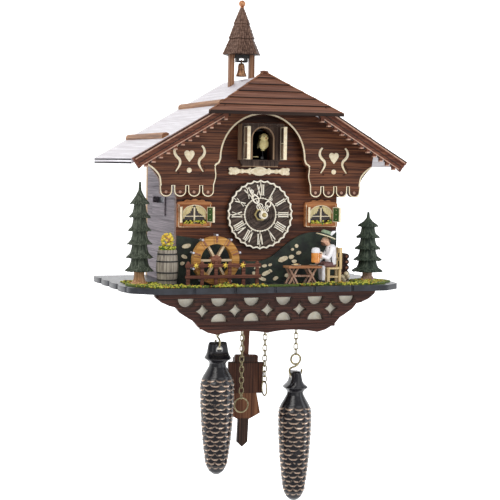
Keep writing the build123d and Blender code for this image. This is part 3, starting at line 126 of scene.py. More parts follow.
class Shape:
    """Gathers faces in millimetres from the dial centre and the front wall, then makes one object."""

    def __init__(self):
        self.verts = []
        self.faces = []
        self.slots = []

    def add(self, verts, faces, slot=0):
        """Takes in faces that count their own vertices from 0, with a material slot."""
        base = len(self.verts)
        self.verts += [tuple(v) for v in verts]
        self.faces += [tuple(base + i for i in f) for f in faces]
        self.slots += [slot] * len(faces)

    def box(self, x0, x1, y0, y1, z0, z1, slot=0, turn=0, about=(0, 0)):
        """A block, turned about the vertical through about=(x, y) if asked."""
        c, s = math.cos(turn), math.sin(turn)
        verts = []
        for x in (x0, x1):
            for y in (y0, y1):
                dx, dy = x - about[0], y - about[1]
                px, py = about[0] + dx * c - dy * s, about[1] + dx * s + dy * c
                verts += [(px, py, z0), (px, py, z1)]
        self.add(verts, BLOCK_FACES, slot)

    def swung(self, hinge, along, across, out, thick, tall, slot=0):
        """A block measured from an upright hinge: out along the leaf, thick through it, tall in z."""
        verts = []
        for u in out:
            for w in thick:
                p = hinge + along * u + across * w
                verts += [(p.x, p.y, z) for z in tall]
        self.add(verts, BLOCK_FACES, slot)

    def prism(self, outline, y0, y1, slot=0, rim=None):
        """An outline of (x, z) points in the wall's plane, given depth from y0 back to y1."""
        n = len(outline)
        verts = [(x, y0, z) for x, z in outline] + [(x, y1, z) for x, z in outline]
        self.add(verts, [tuple(range(n)), tuple(range(2 * n - 1, n - 1, -1))], slot)
        sides = [(i, n + i, n + (i + 1) % n, (i + 1) % n) for i in range(n)]
        self.add(verts, sides, slot if rim is None else rim)

    def lathe(self, x, y, z, profile, segments=32, slot=0, axis="z", warp=None):
        """A turned body: profile is (radius, height) pairs along the axis, warp moves single points."""
        verts = []
        for radius, height in profile:
            for k in range(segments):
                a = 2 * math.pi * k / segments
                r, h = (radius, height) if warp is None else warp(radius, height, a)
                if axis == "z":
                    verts.append((x + r * math.cos(a), y + r * math.sin(a), z + h))
                elif axis == "y":
                    verts.append((x + r * math.cos(a), y + h, z + r * math.sin(a)))
                else:
                    verts.append((x + h, y + r * math.cos(a), z + r * math.sin(a)))
        faces = []
        for i in range(len(profile) - 1):
            for k in range(segments):
                a, b = i * segments + k, i * segments + (k + 1) % segments
                faces.append((a, b, b + segments, a + segments))
        faces.append(tuple(range(segments - 1, -1, -1)))
        faces.append(tuple((len(profile) - 1) * segments + k for k in range(segments)))
        self.add(verts, faces, slot)

    def tube(self, path, radius, slot=0, segments=10, closed=False, flat=1.0):
        """A wire or round stick along a path of (x, y, z) points; radius may be a list."""
        points = [Vector(p) for p in path]
        n = len(points)
        radii = radius if isinstance(radius, (list, tuple)) else [radius] * n
        verts = []
        side = None
        for i, p in enumerate(points):
            before = points[i - 1] if (i or closed) else p
            after = points[(i + 1) % n] if (i < n - 1 or closed) else p
            along = (after - before).normalized()
            if side is None:
                side = along.orthogonal().normalized()
                if abs(along.y) < 0.9:
                    side = along.cross(Vector((0, 1, 0))).normalized()
            side = (side - along * side.dot(along)).normalized()
            other = along.cross(side)
            for k in range(segments):
                a = 2 * math.pi * k / segments
                verts.append(p + (side * math.cos(a) + other * (math.sin(a) * flat)) * radii[i])
        rings = n if closed else n - 1
        faces = []
        for i in range(rings):
            for k in range(segments):
                a, b = i * segments + k, i * segments + (k + 1) % segments
                c, d = ((i + 1) % n) * segments + (k + 1) % segments, ((i + 1) % n) * segments + k
                faces.append((a, b, c, d))
        if not closed:
            faces.append(tuple(range(segments - 1, -1, -1)))
            faces.append(tuple((n - 1) * segments + k for k in range(segments)))
        self.add(verts, faces, slot)

    def ball(self, centre, size, slot=0, rings=8, segments=12, turn=None):
        """An egg shape with half sizes size=(x, y, z), turned by a matrix if asked."""
        verts = []
        for i in range(1, rings):
            t = math.pi * i / rings
            for k in range(segments):
                a = 2 * math.pi * k / segments
                verts.append((math.sin(t) * math.cos(a), math.sin(t) * math.sin(a), math.cos(t)))
        verts += [(0, 0, 1), (0, 0, -1)]
        placed = []
        for v in verts:
            p = Vector((v[0] * size[0], v[1] * size[1], v[2] * size[2]))
            placed.append(Vector(centre) + (turn @ p if turn else p))
        faces = []
        for i in range(rings - 2):
            for k in range(segments):
                a, b = i * segments + k, i * segments + (k + 1) % segments
                faces.append((a, a + segments, b + segments, b))
        top, bottom, last = len(verts) - 2, len(verts) - 1, (rings - 2) * segments
        for k in range(segments):
            faces.append((top, k, (k + 1) % segments))
            faces.append((bottom, last + (k + 1) % segments, last + k))
        self.add(placed, faces, slot)

    def join(self, other, shift, turn):
        """Takes in another shape, turned by a matrix and then moved."""
        base = len(self.verts)
        self.verts += [tuple(Vector(shift) + turn @ Vector(v)) for v in other.verts]
        self.faces += [tuple(base + i for i in f) for f in other.faces]
        self.slots += other.slots

    def make(self, name, materials, body="case", bevel=0.0, sharp=40, stands_for=()):
        """Makes the object, with its bevel in millimetres, and lets it ride on a body of the clock."""
        mesh = bpy.data.meshes.new(name)
        mesh.from_pydata([at(*v) for v in self.verts], [], self.faces)
        for m in materials:
            mesh.materials.append(m)
        mesh.polygons.foreach_set("material_index", self.slots)
        mesh.validate()
        mesh.shade_smooth()
        mesh.set_sharp_from_angle(angle=math.radians(sharp))
        thing = bpy.data.objects.new(name, mesh)
        bpy.context.scene.collection.objects.link(thing)
        if bevel:
            ease(thing, bevel, 40)
        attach(thing, body)
        if stands_for:
            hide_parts(*stands_for)
        return thing


def ease(thing, bevel, sharper_than):
    """Slightly rounded edges, bevel millimetres wide, where faces meet at more than an angle in degrees."""
    edge = thing.modifiers.new("eased_edges", "BEVEL")
    edge.width = bevel / 1000
    edge.segments = 2
    edge.limit_method = "ANGLE"
    edge.angle_limit = math.radians(sharper_than)


def dress(node, material, bevel=0.0):
    """Gives a piece of the built model its finish and, if asked, slightly rounded edges."""
    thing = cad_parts[node]
    thing.data.materials.clear()
    thing.data.materials.append(material)
    for face in thing.data.polygons:
        face.material_index = 0
    thing.data.shade_smooth()
    thing.data.set_sharp_from_angle(angle=math.radians(35))
    if bevel:
        ease(thing, bevel, 50)


def grain_group():
    """Wood figure along x: broad streaks, fine pores and slow colour drift, in object space."""
    group = bpy.data.node_groups.new("wood_figure", "ShaderNodeTree")
    group.interface.new_socket("Vector", in_out="INPUT", socket_type="NodeSocketVector")
    group.interface.new_socket("Streak", in_out="INPUT", socket_type="NodeSocketFloat")
    for output in ("Tone", "Pore"):
        group.interface.new_socket(output, in_out="OUTPUT", socket_type="NodeSocketFloat")
    n, k = group.nodes, group.links
    entry, leave = n.new("NodeGroupInput"), n.new("NodeGroupOutput")

    def layer(stretch, detail):
        stretched = n.new("ShaderNodeVectorMath")
        stretched.operation = "MULTIPLY"
        stretched.inputs[1].default_value = stretch
        noise = n.new("ShaderNodeTexNoise")
        noise.inputs["Scale"].default_value = 1.0
        noise.inputs["Detail"].default_value = detail
        noise.inputs["Roughness"].default_value = 0.62
        k.new(entry.outputs["Vector"], stretched.inputs[0])
        k.new(stretched.outputs[0], noise.inputs["Vector"])
        return noise.outputs["Fac"]

    broad = layer((11, 640, 640), 4)
    fine = layer((60, 1900, 1900), 2)
    drift = layer((9, 40, 40), 2)
    contrast = n.new("ShaderNodeMapRange")
    contrast.inputs["From Min"].default_value = 0.34
    contrast.inputs["From Max"].default_value = 0.66
    mix = n.new("ShaderNodeMix")
    mix.inputs["Factor"].default_value = 0.35
    tone = n.new("ShaderNodeMath")
    tone.operation = "MULTIPLY_ADD"
    k.new(broad, contrast.inputs["Value"])
    k.new(contrast.outputs["Result"], mix.inputs["A"])
    k.new(fine, mix.inputs["B"])
    k.new(drift, tone.inputs[0])
    k.new(entry.outputs["Streak"], tone.inputs[1])
    k.new(mix.outputs["Result"], tone.inputs[2])
    k.new(tone.outputs[0], leave.inputs["Tone"])
    k.new(fine, leave.inputs["Pore"])
    return group


GRAIN = grain_group()
TURNS = {"x": (0, 0, 0), "y": (0, 0, math.pi / 2), "z": (0, math.pi / 2, 0), "arch": (0.2, 0.5, 0)}


def wood(name, dark, mid, light, grain="x", rough=0.45, relief=0.12, figure=0.4, coat=0.0):
    """Stained wood with its figure running along one axis; dark, mid and light are linear colours."""
    material = bpy.data.materials.new(name)
    material.use_nodes = True
    n, k = material.node_tree.nodes, material.node_tree.links
    shader = n["Principled BSDF"]
    place = n.new("ShaderNodeTexCoord")
    turn = n.new("ShaderNodeMapping")
    turn.inputs["Rotation"].default_value = TURNS[grain]
    figured = n.new("ShaderNodeGroup")
    figured.node_tree = GRAIN
    figured.inputs["Streak"].default_value = figure
    ramp = n.new("ShaderNodeValToRGB")
    ramp.color_ramp.elements[0].position = 0.24
    ramp.color_ramp.elements[0].color = (*dark, 1)
    ramp.color_ramp.elements[1].position = 0.98
    ramp.color_ramp.elements[1].color = (*light, 1)
    ramp.color_ramp.elements.new(0.62).color = (*mid, 1)
    dull = n.new("ShaderNodeMapRange")
    dull.inputs["To Min"].default_value = rough + 0.14
    dull.inputs["To Max"].default_value = rough - 0.1
    bump = n.new("ShaderNodeBump")
    bump.inputs["Strength"].default_value = relief * 2.5
    bump.inputs["Distance"].default_value = 0.0003
    k.new(place.outputs["Object"], turn.inputs["Vector"])
    k.new(turn.outputs["Vector"], figured.inputs["Vector"])
    k.new(figured.outputs["Tone"], ramp.inputs["Fac"])
    k.new(figured.outputs["Pore"], dull.inputs["Value"])
    k.new(figured.outputs["Tone"], bump.inputs["Height"])
    k.new(ramp.outputs["Color"], shader.inputs["Base Color"])
    k.new(dull.outputs["Result"], shader.inputs["Roughness"])
    k.new(bump.outputs["Normal"], shader.inputs["Normal"])
    shader.inputs["Specular IOR Level"].default_value = 0.22
    shader.inputs["Coat Weight"].default_value = coat
    shader.inputs["Coat Roughness"].default_value = 0.2
    return material


def speckle_group():
    """Uneven hand-laid colour: soft blotches and small specks, in object space."""
    group = bpy.data.node_groups.new("paint_mottle", "ShaderNodeTree")
    group.interface.new_socket("Vector", in_out="INPUT", socket_type="NodeSocketVector")
    group.interface.new_socket("Scale", in_out="INPUT", socket_type="NodeSocketFloat")
    for output in ("Blotch", "Speck"):
        group.interface.new_socket(output, in_out="OUTPUT", socket_type="NodeSocketFloat")
    n, k = group.nodes, group.links
    entry, leave = n.new("NodeGroupInput"), n.new("NodeGroupOutput")
    for output, factor, detail in (("Blotch", 1.0, 3), ("Speck", 7.0, 1)):
        scale = n.new("ShaderNodeMath")
        scale.operation = "MULTIPLY"
        scale.inputs[1].default_value = factor
        noise = n.new("ShaderNodeTexNoise")
        noise.inputs["Detail"].default_value = detail
        k.new(entry.outputs["Scale"], scale.inputs[0])
        k.new(entry.outputs["Vector"], noise.inputs["Vector"])
        k.new(scale.outputs[0], noise.inputs["Scale"])
        k.new(noise.outputs["Fac"], leave.inputs[output])
    return group


MOTTLE = speckle_group()


def paint(name, colour, other=None, rough=0.5, scale=160, relief=0.15, metal=0.0, coat=0.0):
    """Paint, plastic or metal that drifts between two linear colours, with a faintly uneven surface."""
    material = bpy.data.materials.new(name)
    material.use_nodes = True
    n, k = material.node_tree.nodes, material.node_tree.links
    shader = n["Principled BSDF"]
    place = n.new("ShaderNodeTexCoord")
    mottle = n.new("ShaderNodeGroup")
    mottle.node_tree = MOTTLE
    mottle.inputs["Scale"].default_value = scale
    ramp = n.new("ShaderNodeValToRGB")
    ramp.color_ramp.elements[0].position = 0.36
    ramp.color_ramp.elements[0].color = (*(other or [0.68 * c for c in colour]), 1)
    ramp.color_ramp.elements[1].position = 0.62
    ramp.color_ramp.elements[1].color = (*colour, 1)
    dull = n.new("ShaderNodeMapRange")
    dull.inputs["To Min"].default_value = rough - 0.1
    dull.inputs["To Max"].default_value = rough + 0.14
    bump = n.new("ShaderNodeBump")
    bump.inputs["Strength"].default_value = relief
    bump.inputs["Distance"].default_value = 0.0004
    k.new(place.outputs["Object"], mottle.inputs["Vector"])
    k.new(mottle.outputs["Blotch"], ramp.inputs["Fac"])
    k.new(mottle.outputs["Speck"], dull.inputs["Value"])
    k.new(mottle.outputs["Speck"], bump.inputs["Height"])
    k.new(ramp.outputs["Color"], shader.inputs["Base Color"])
    k.new(dull.outputs["Result"], shader.inputs["Roughness"])
    k.new(bump.outputs["Normal"], shader.inputs["Normal"])
    shader.inputs["Metallic"].default_value = metal
    shader.inputs["Coat Weight"].default_value = coat
    shader.inputs["Coat Roughness"].default_value = 0.12
    return material


case_wood = wood("case_wood", (0.012, 0.004, 0.003), (0.060, 0.017, 0.008), (0.20, 0.066, 0.026), rough=0.42)
siding = wood("grey_siding", (0.07, 0.058, 0.066), (0.17, 0.145, 0.165), (0.29, 0.25, 0.27), "y", 0.6)
plywood = wood("plywood", (0.26, 0.15, 0.07), (0.42, 0.27, 0.14), (0.55, 0.38, 0.22), "z", 0.7)
deck_paint = paint("deck_paint", (0.020, 0.022, 0.030), (0.008, 0.009, 0.013), 0.4, 90, 0.05, coat=0.12)
cream_line = paint("cream_line", (0.93, 0.82, 0.60), (0.80, 0.66, 0.43), 0.5, 400)
dress("front_wall", case_wood)
dress("side_walls", siding)
dress("sound_frames", siding, 0.3)
dress("back_board", plywood, 0.3)
dress("back_door", plywood, 0.4)
dress("deck", deck_paint, 0.9)

DECK_TOP = -72.5
zinc = paint("zinc_plate", (0.62, 0.62, 0.60), (0.5, 0.5, 0.5), 0.35, 500, 0.1, metal=1.0)
dress("hanger_plate", zinc, 0.2)

door_fittings = Shape()
for z in (-38, 38):
    door_fittings.box(-63, -57.5, 117.4, 117.9, z - 9, z + 9)
    door_fittings.tube([(-60, 117.2, z - 9), (-60, 117.2, z + 9)], 0.6)
for x, z in ((-84, 44), (84, 44), (-84, -60), (84, -60), (0, 118)):
    door_fittings.lathe(x, 117.1, z, [(0.01, 0.8), (2.0, 0.75), (2.6, 0.4), (2.8, 0)], 16, axis="y")
door_fittings.make("rear_hinges_and_screws", [zinc], bevel=0.15)

# The laps of the siding boards stand a little proud of the side walls and stop at the sound openings.
lap_lines = Shape()
SIDE_X, LAP_RISE, LAP_PITCH, LAPS = 90.5, 0.5, 11.5, 13
LOWEST_LAP = -66
SOUND_OPENING_Z, SOUND_OPENING_REACH = 12, 20
for side in (-1, 1):
    x0, x1 = sorted((side * SIDE_X, side * SIDE_X + side * LAP_RISE))
    for i in range(LAPS):
        z = LOWEST_LAP + i * LAP_PITCH
        clear = abs(z - SOUND_OPENING_Z) > SOUND_OPENING_REACH
        for y0, y1 in ((6.5, 111.5),) if clear else ((6.5, 37.5), (86.5, 111.5)):
            lap_lines.box(x0, x1, y0, y1, z, z + 1.0)
lap_lines.make("siding_laps", [siding], bevel=0.15)

# ---- roof -----------------------------------------------------------------------------------------
# Two thin greyed roof boards scored with fine saw lines along the ridge, a front hip covered with six
# lapped boards, round sticks held down on the slopes, and moulded barge boards under the front edge.
RIDGE_Z = 145.2
ROOF_FALL = 0.585
EAVE_X = 150.0
HIP_APEX = (-12.0, 151.0)
HIP_EAVE = (-55.0, 107.0)
HIP_HALF = 73.7


def scored_roof():
    """Greyed roof wood with a dark saw line every few millimetres down the slope."""
    material = bpy.data.materials.new("scored_roof")
    material.use_nodes = True
    n, k = material.node_tree.nodes, material.node_tree.links
    shader = n["Principled BSDF"]
    place = n.new("ShaderNodeTexCoord")
    bands = n.new("ShaderNodeTexWave")
    bands.bands_direction = "X"
    bands.inputs["Scale"].default_value = 125
    bands.inputs["Distortion"].default_value = 0.25
    score = n.new("ShaderNodeMapRange")
    score.inputs["From Min"].default_value = 0.0
    score.inputs["From Max"].default_value = 0.35
    figure = n.new("ShaderNodeGroup")
    figure.node_tree = GRAIN
    figure.inputs["Streak"].default_value = 0.4
    turn = n.new("ShaderNodeMapping")
    turn.inputs["Rotation"].default_value = TURNS["y"]
    grey = n.new("ShaderNodeValToRGB")
    grey.color_ramp.elements[0].position = 0.2
    grey.color_ramp.elements[0].color = (0.36, 0.32, 0.36, 1)
    grey.color_ramp.elements[1].position = 0.9
    grey.color_ramp.elements[1].color = (0.68, 0.66, 0.70, 1)
    scored = n.new("ShaderNodeMix")
    scored.data_type = "RGBA"
    scored.inputs["A"].default_value = (0.20, 0.15, 0.16, 1)
    bump = n.new("ShaderNodeBump")
    bump.inputs["Strength"].default_value = 0.4
    bump.inputs["Distance"].default_value = 0.0004
    k.new(place.outputs["Object"], bands.inputs["Vector"])
    k.new(place.outputs["Object"], turn.inputs["Vector"])
    k.new(turn.outputs["Vector"], figure.inputs["Vector"])
    k.new(bands.outputs["Fac"], score.inputs["Value"])
    k.new(figure.outputs["Tone"], grey.inputs["Fac"])
    k.new(score.outputs["Result"], scored.inputs["Factor"])
    k.new(grey.outputs["Color"], scored.inputs["B"])
    k.new(scored.outputs["Result"], shader.inputs["Base Color"])
    k.new(score.outputs["Result"], bump.inputs["Height"])
    k.new(bump.outputs["Normal"], shader.inputs["Normal"])
    shader.inputs["Roughness"].default_value = 0.42
    return material


saw_lines = scored_roof()
stick_wood = wood("stick_wood", (0.05, 0.02, 0.008), (0.20, 0.085, 0.034), (0.42, 0.21, 0.09), "y", 0.5)
hip_wood = wood("hip_wood", (0.050, 0.018, 0.011), (0.125, 0.045, 0.026), (0.24, 0.105, 0.060), "x", 0.42)
hip_seam = wood("hip_seam", (0.008, 0.004, 0.003), (0.02, 0.009, 0.006), (0.04, 0.02, 0.012), "x", 0.6)
eave_wood = wood("eave_wood", (0.05, 0.018, 0.010), (0.17, 0.068, 0.034), (0.33, 0.16, 0.085), "x", 0.5)
barge_wood = wood("barge_wood", (0.028, 0.009, 0.006), (0.10, 0.030, 0.017), (0.20, 0.070, 0.036), "x", 0.45)
edge_dark = wood("edge_dark", (0.012, 0.006, 0.005), (0.03, 0.014, 0.010), (0.06, 0.03, 0.02), "y", 0.5)
pink_cream = paint("pink_cream", (0.50, 0.30, 0.21), (0.34, 0.18, 0.12), 0.5, 300)
dress("left_roof", saw_lines, 0.3)
dress("right_roof", saw_lines, 0.3)
dress("roof_logs", stick_wood)
dress("barge_boards", barge_wood, 0.25)


def roof_z(x):
    """The height of the roof boards' upper face at a distance from the ridge."""
    return RIDGE_Z - ROOF_FALL * abs(x)


def hip_point(v):
    """The (y, z) of the hip's face at a share v of the way from its eave to its top."""
    return tuple(low + (high - low) * v for low, high in zip(HIP_EAVE, HIP_APEX))


hip = Shape()
COURSES = 6
lift_y, lift_z = -0.716 * 0.9, 0.698 * 0.9
for course in range(COURSES):
    corners = []
    for v, raised in ((course / COURSES, 1.0), ((course + 1) / COURSES, 0.0)):
        y, z = hip_point(v)
        half = max(HIP_HALF * (1 - v), 0.8)
        for x in (-half, half):
            corners.append((x, y + lift_y * (raised - 1), z + lift_z * (raised - 1)))
            corners.append((x, y + 0.2, z - 3.4))
    hip.add(corners, [(0, 2, 6, 4), (1, 5, 7, 3), (0, 4, 5, 1), (2, 3, 7, 6)], 0)
    hip.add(corners, [(0, 1, 3, 2), (4, 6, 7, 5)], 1)
for course in range(1, COURSES):
    y, z = hip_point(course / COURSES)
    half = HIP_HALF * (1 - course / COURSES) - 0.4
    hip.tube([(-half, y - 0.25, z - 0.65), (half, y - 0.25, z - 0.65)], 0.26, 1, 6)
eave_y, eave_z = HIP_EAVE
hip.box(-HIP_HALF + 0.5, HIP_HALF - 0.5, eave_y, eave_y + 2, eave_z - 3.5, eave_z - 1.6, 1)
for side in (-1, 1):
    hip.tube([(0, -13, 149.6), (side * 24, -26.6, 135.2), (side * 73, -55, 106.4)], [1.2, 0.8, 0.6], 2, 8)
hip.ball((0, -13.0, 149.4), (5.0, 2.6, 1.6), 0)
hip.make("hip_boards", [hip_wood, hip_seam, eave_wood], stands_for=["hip_roof"])

# Mouldings: a dark capping line and a pale bead run down each barge board, and each dentil has a
# pale foot. Narrow dark strips edge the roof boards at the eaves.
moulding = Shape()
for side in (-1, 1):
    for c0, c1, y0, y1, slot in (
        (0.3, 1.6, -49.4, -48.6, 2), (2.0, 3.3, -49.5, -48.6, 1), (8.2, 9.2, -47.5, -46.8, 2),
        (12.3, 13.4, -47.6, -46.8, 1),
    ):
        x0, x1 = 54.5, 148.4 - c0 * 0.6
        outline = [(side * x0, roof_z(x0) - c0), (side * x1, roof_z(x1) - c0)]
        outline += [(side * x1, roof_z(x1) - c1), (side * x0, roof_z(x0) - c1)]
        moulding.prism(outline if side > 0 else outline[::-1], y0, y1, slot)
    for i in range(12):
        x = 135.5 - 7.52 * i
        z = roof_z(x) - 17.0
        moulding.box(side * x - 1.75, side * x + 1.75, -47.2, -42.9, z - 0.1, z + 1.2, 1)
        moulding.box(side * (x - 3.7) - 1.2, side * (x - 3.7) + 1.2, -47.1, -46.9, z + 4.0, z + 7.2, 2)
    for drop in (1.0, 4.4):
        x, z = side * (EAVE_X - 0.4), roof_z(EAVE_X) - drop
        moulding.box(x - 0.4, x + 0.4, -42.8, 117.5, z - 0.9, z + 0.5, 2)
moulding.make("roof_mouldings", [barge_wood, pink_cream, edge_dark])
log_ends = Shape()
STICK_RADIUS = 4.1
for x in (52.0, 112.0):
    for side in (-1, 1):
        for y in (-34.15, 112.0):
            arc = [(side * x + STICK_RADIUS * math.cos(a), roof_z(x) + STICK_RADIUS * math.sin(a))
                   for a in [math.pi * k / 14 for k in range(15)]]
            keep = [(px, pz) for px, pz in arc if pz > roof_z(px)]
            log_ends.prism(keep, y, y + 0.15)
log_ends.make("stick_ends", [eave_wood])

# ---- bell tower -----------------------------------------------------------------------------------
# Two square posts on the ridge carry a six-sided roof in three flared tiers of small cut shingles,
# with a copper ball on top. A little turned bell swings on a pin in a blackened hanger.
TOWER_Y = 60.0
post_wood = wood("post_wood", (0.08, 0.032, 0.016), (0.22, 0.10, 0.05), (0.38, 0.20, 0.11), "z", 0.55)
shingle = wood("shingle_wood", (0.035, 0.018, 0.012), (0.10, 0.053, 0.037), (0.21, 0.125, 0.09), "z", 0.6)
copper = paint("copper_ball", (0.55, 0.26, 0.13), (0.35, 0.15, 0.07), 0.3, 200, 0.05, metal=0.9)
black_iron = paint("black_iron", (0.02, 0.018, 0.016), (0.01, 0.01, 0.01), 0.5, 300, 0.2)
bronze = paint("bell_bronze", (0.34, 0.18, 0.09), (0.13, 0.06, 0.035), 0.4, 420, 0.3, metal=0.9)
dress("tower_posts", post_wood, 0.3)
dress("bell_hanger", black_iron, 0.2)

cap = Shape()
SHINGLE_FACES = [(0, 1, 3, 2), (0, 4, 5, 1), (0, 2, 6, 4), (1, 5, 7, 3), (2, 3, 7, 6), (4, 6, 7, 5)]
# each tier's foot and top, its radius at both, and its rows of shingles
TIERS = ((172.2, 190.4, 21.9, 13.4, 4), (189.6, 206.4, 15.0, 8.4, 4), (205.6, 224.0, 9.6, 1.5, 5))
for z0, z1, r0, r1, rows in TIERS:
    for face in range(6):
        a0, a1 = math.pi / 3 * face, math.pi / 3 * (face + 1)
        p0, p1 = Vector((math.cos(a0), math.sin(a0), 0)), Vector((math.cos(a1), math.sin(a1), 0))
        out = (p0 + p1).normalized()
        for row in range(rows):
            v0, v1 = row / rows, (row + 1.25) / rows
            rl, rh = r0 + (r1 - r0) * v0, r0 + (r1 - r0) * min(v1, 1)
            zl, zh = z0 + (z1 - z0) * v0, z0 + (z1 - z0) * min(v1, 1)
            count = max(int(rl / 2.6), 1)
            for i in range(count):
                s0, s1 = i / count, (i + 1) / count - 0.03
                wobble = random.uniform(-0.25, 0.3)
                base = Vector((0, TOWER_Y, 0))
                lift = out * (0.45 + random.uniform(0, 0.15))
                ll = base + (p0 * (1 - s0) + p1 * s0) * rl + lift + Vector((0, 0, zl + wobble))
                lr = base + (p0 * (1 - s1) + p1 * s1) * rl + lift + Vector((0, 0, zl + wobble))
                hl = base + (p0 * (1 - s0) + p1 * s0) * rh + Vector((0, 0, zh))
                hr = base + (p0 * (1 - s1) + p1 * s1) * rh + Vector((0, 0, zh))
                under = [q - out * 0.8 for q in (ll, lr, hl, hr)]
                cap.add([ll, lr, hl, hr] + under, SHINGLE_FACES, 0)
    core = [(0.97 * r, z) for r, z in ((r0 - 0.8, z0 - 0.1), (r1 - 0.8, z1), (0.05, z1))]
    cap.lathe(0, TOWER_Y, 0, [(0.05, z0 - 0.1)] + [(max(r, 0.05), z) for r, z in core], 6, 1)
cap.tube([(0, TOWER_Y, 222.5), (0, TOWER_Y, 225.0)], [1.7, 1.3], 0, 10)
cap.make("tower_shingles", [shingle, edge_dark], stands_for=["tower_roof"])
ball = Shape()
ball.ball((0, TOWER_Y, 227.6), (3.75, 3.75, 3.75), rings=14, segments=22)
ball.lathe(0, TOWER_Y, 222.9, [(0.1, 0), (2.1, 0.2), (2.4, 0.8), (1.4, 1.4), (1.2, 1.9)], 16)
ball.make("tower_ball", [copper])
little_bell = Shape()
little_bell.lathe(0, TOWER_Y, 165.0, [
    (0.1, -1.6), (2.4, -2.0), (3.4, -3.4), (3.8, -5.0), (4.0, -9.0), (4.6, -12.0), (6.0, -15.4), (6.1, -16.4),
    (5.4, -16.5), (3.8, -12.0), (3.2, -8.0), (2.6, -4.8), (0.1, -4.0),
], 28)
little_bell.lathe(0, TOWER_Y, 165.0, [(4.05, -9.4), (4.35, -9.7), (4.1, -10.0)], 28)
little_bell.tube([(0, TOWER_Y, 161.0), (0, TOWER_Y, 150.6)], 0.35)
little_bell.ball((0, TOWER_Y, 150.2), (1.3, 1.3, 1.3))
little_bell.tube([(0, TOWER_Y + 1.7 * math.cos(a), 165 + 1.7 * math.sin(a))
                  for a in [math.pi * k / 8 for k in range(16)]], 0.45, closed=True)
little_bell.make("little_bell", [bronze], body="hanging_bell", stands_for=["bell"])

# ---- gable board ----------------------------------------------------------------------------------
# A fretted board under the roof: a round arch over the doorway, lobed lower edges with a hook at the
# outside, all edged with a pale line, and pale hearts, curls and dots let into the face.
GABLE_Y = -13.0
gable_wood = wood("gable_wood", (0.012, 0.005, 0.003), (0.062, 0.019, 0.009), (0.21, 0.078, 0.034), "x", 0.4)
dress("gable_board", gable_wood, 0.25)
LOBES = (60.2, 75.2, 90.2, 105.2)
HEART_X = 80.7
ARCH_RADIUS, ARCH_Z = 46.2, 58.8


def bend(points, steps=8):
    """A smooth line through (x, z) points."""
    line = []
    for i in range(len(points) - 1):
        p = [Vector(points[max(min(i + d, len(points) - 1), 0)]) for d in (-1, 0, 1, 2)]
        for s in range(steps):
            t = s / steps
            line.append(0.5 * (2 * p[1] + (p[2] - p[0]) * t + (2 * p[0] - 5 * p[1] + 4 * p[2] - p[3]) * t ** 2
                               + (3 * p[1] - p[0] - 3 * p[2] + p[3]) * t ** 3))
    return line + [Vector(points[-1])]


def ribbon(shape, line, width, y, depth, slot=0, inset=0.0):
    """A flat pale strip laid on the board along a line of (x, z) points."""
    line = [Vector(p) for p in line]
    left, right = [], []
    for i, p in enumerate(line):
        along = (line[min(i + 1, len(line) - 1)] - line[max(i - 1, 0)]).normalized()
        across = Vector((-along.y, along.x))
        left.append(p + across * (inset + width / 2))
        right.append(p + across * (inset - width / 2))
    for i in range(len(line) - 1):
        quad = [left[i], right[i], right[i + 1], left[i + 1]]
        verts = [(q.x, y, q.y) for q in quad] + [(q.x, y + depth, q.y) for q in quad]
        shape.add(verts, [(0, 1, 2, 3), (0, 4, 5, 1), (2, 6, 7, 3)], slot)


def lobed_edge(side):
    """The fretted lower edge of one half, from the outer hook to the crown of the arch."""
    line = bend([(125.1, 50.7), (118.5, 46.0), (113.2, 39.5), (111.7, 31.0)], 6)
    for x in reversed(LOBES):
        line += [Vector((x + 6.5 + (0.4 if x == LOBES[-1] else 0), 30.2))]
        line += [Vector((x + 6.4 * math.cos(a), 24.6 - 5.9 * math.sin(a)))
                 for a in [math.pi * k / 12 for k in range(13)]]
        line += [Vector((x - 6.5, 30.2))]
    line += bend([(53.7, 31.0), (51.4, 40.0), (52.0, 50.3), (48.2, 53.8), (ARCH_RADIUS, ARCH_Z)], 6)
    line += [Vector((ARCH_RADIUS * math.cos(a), ARCH_Z + ARCH_RADIUS * math.sin(a)))
             for a in [math.pi / 2 * k / 24 for k in range(25)]]
    return [Vector((side * p.x, p.y)) for p in line]


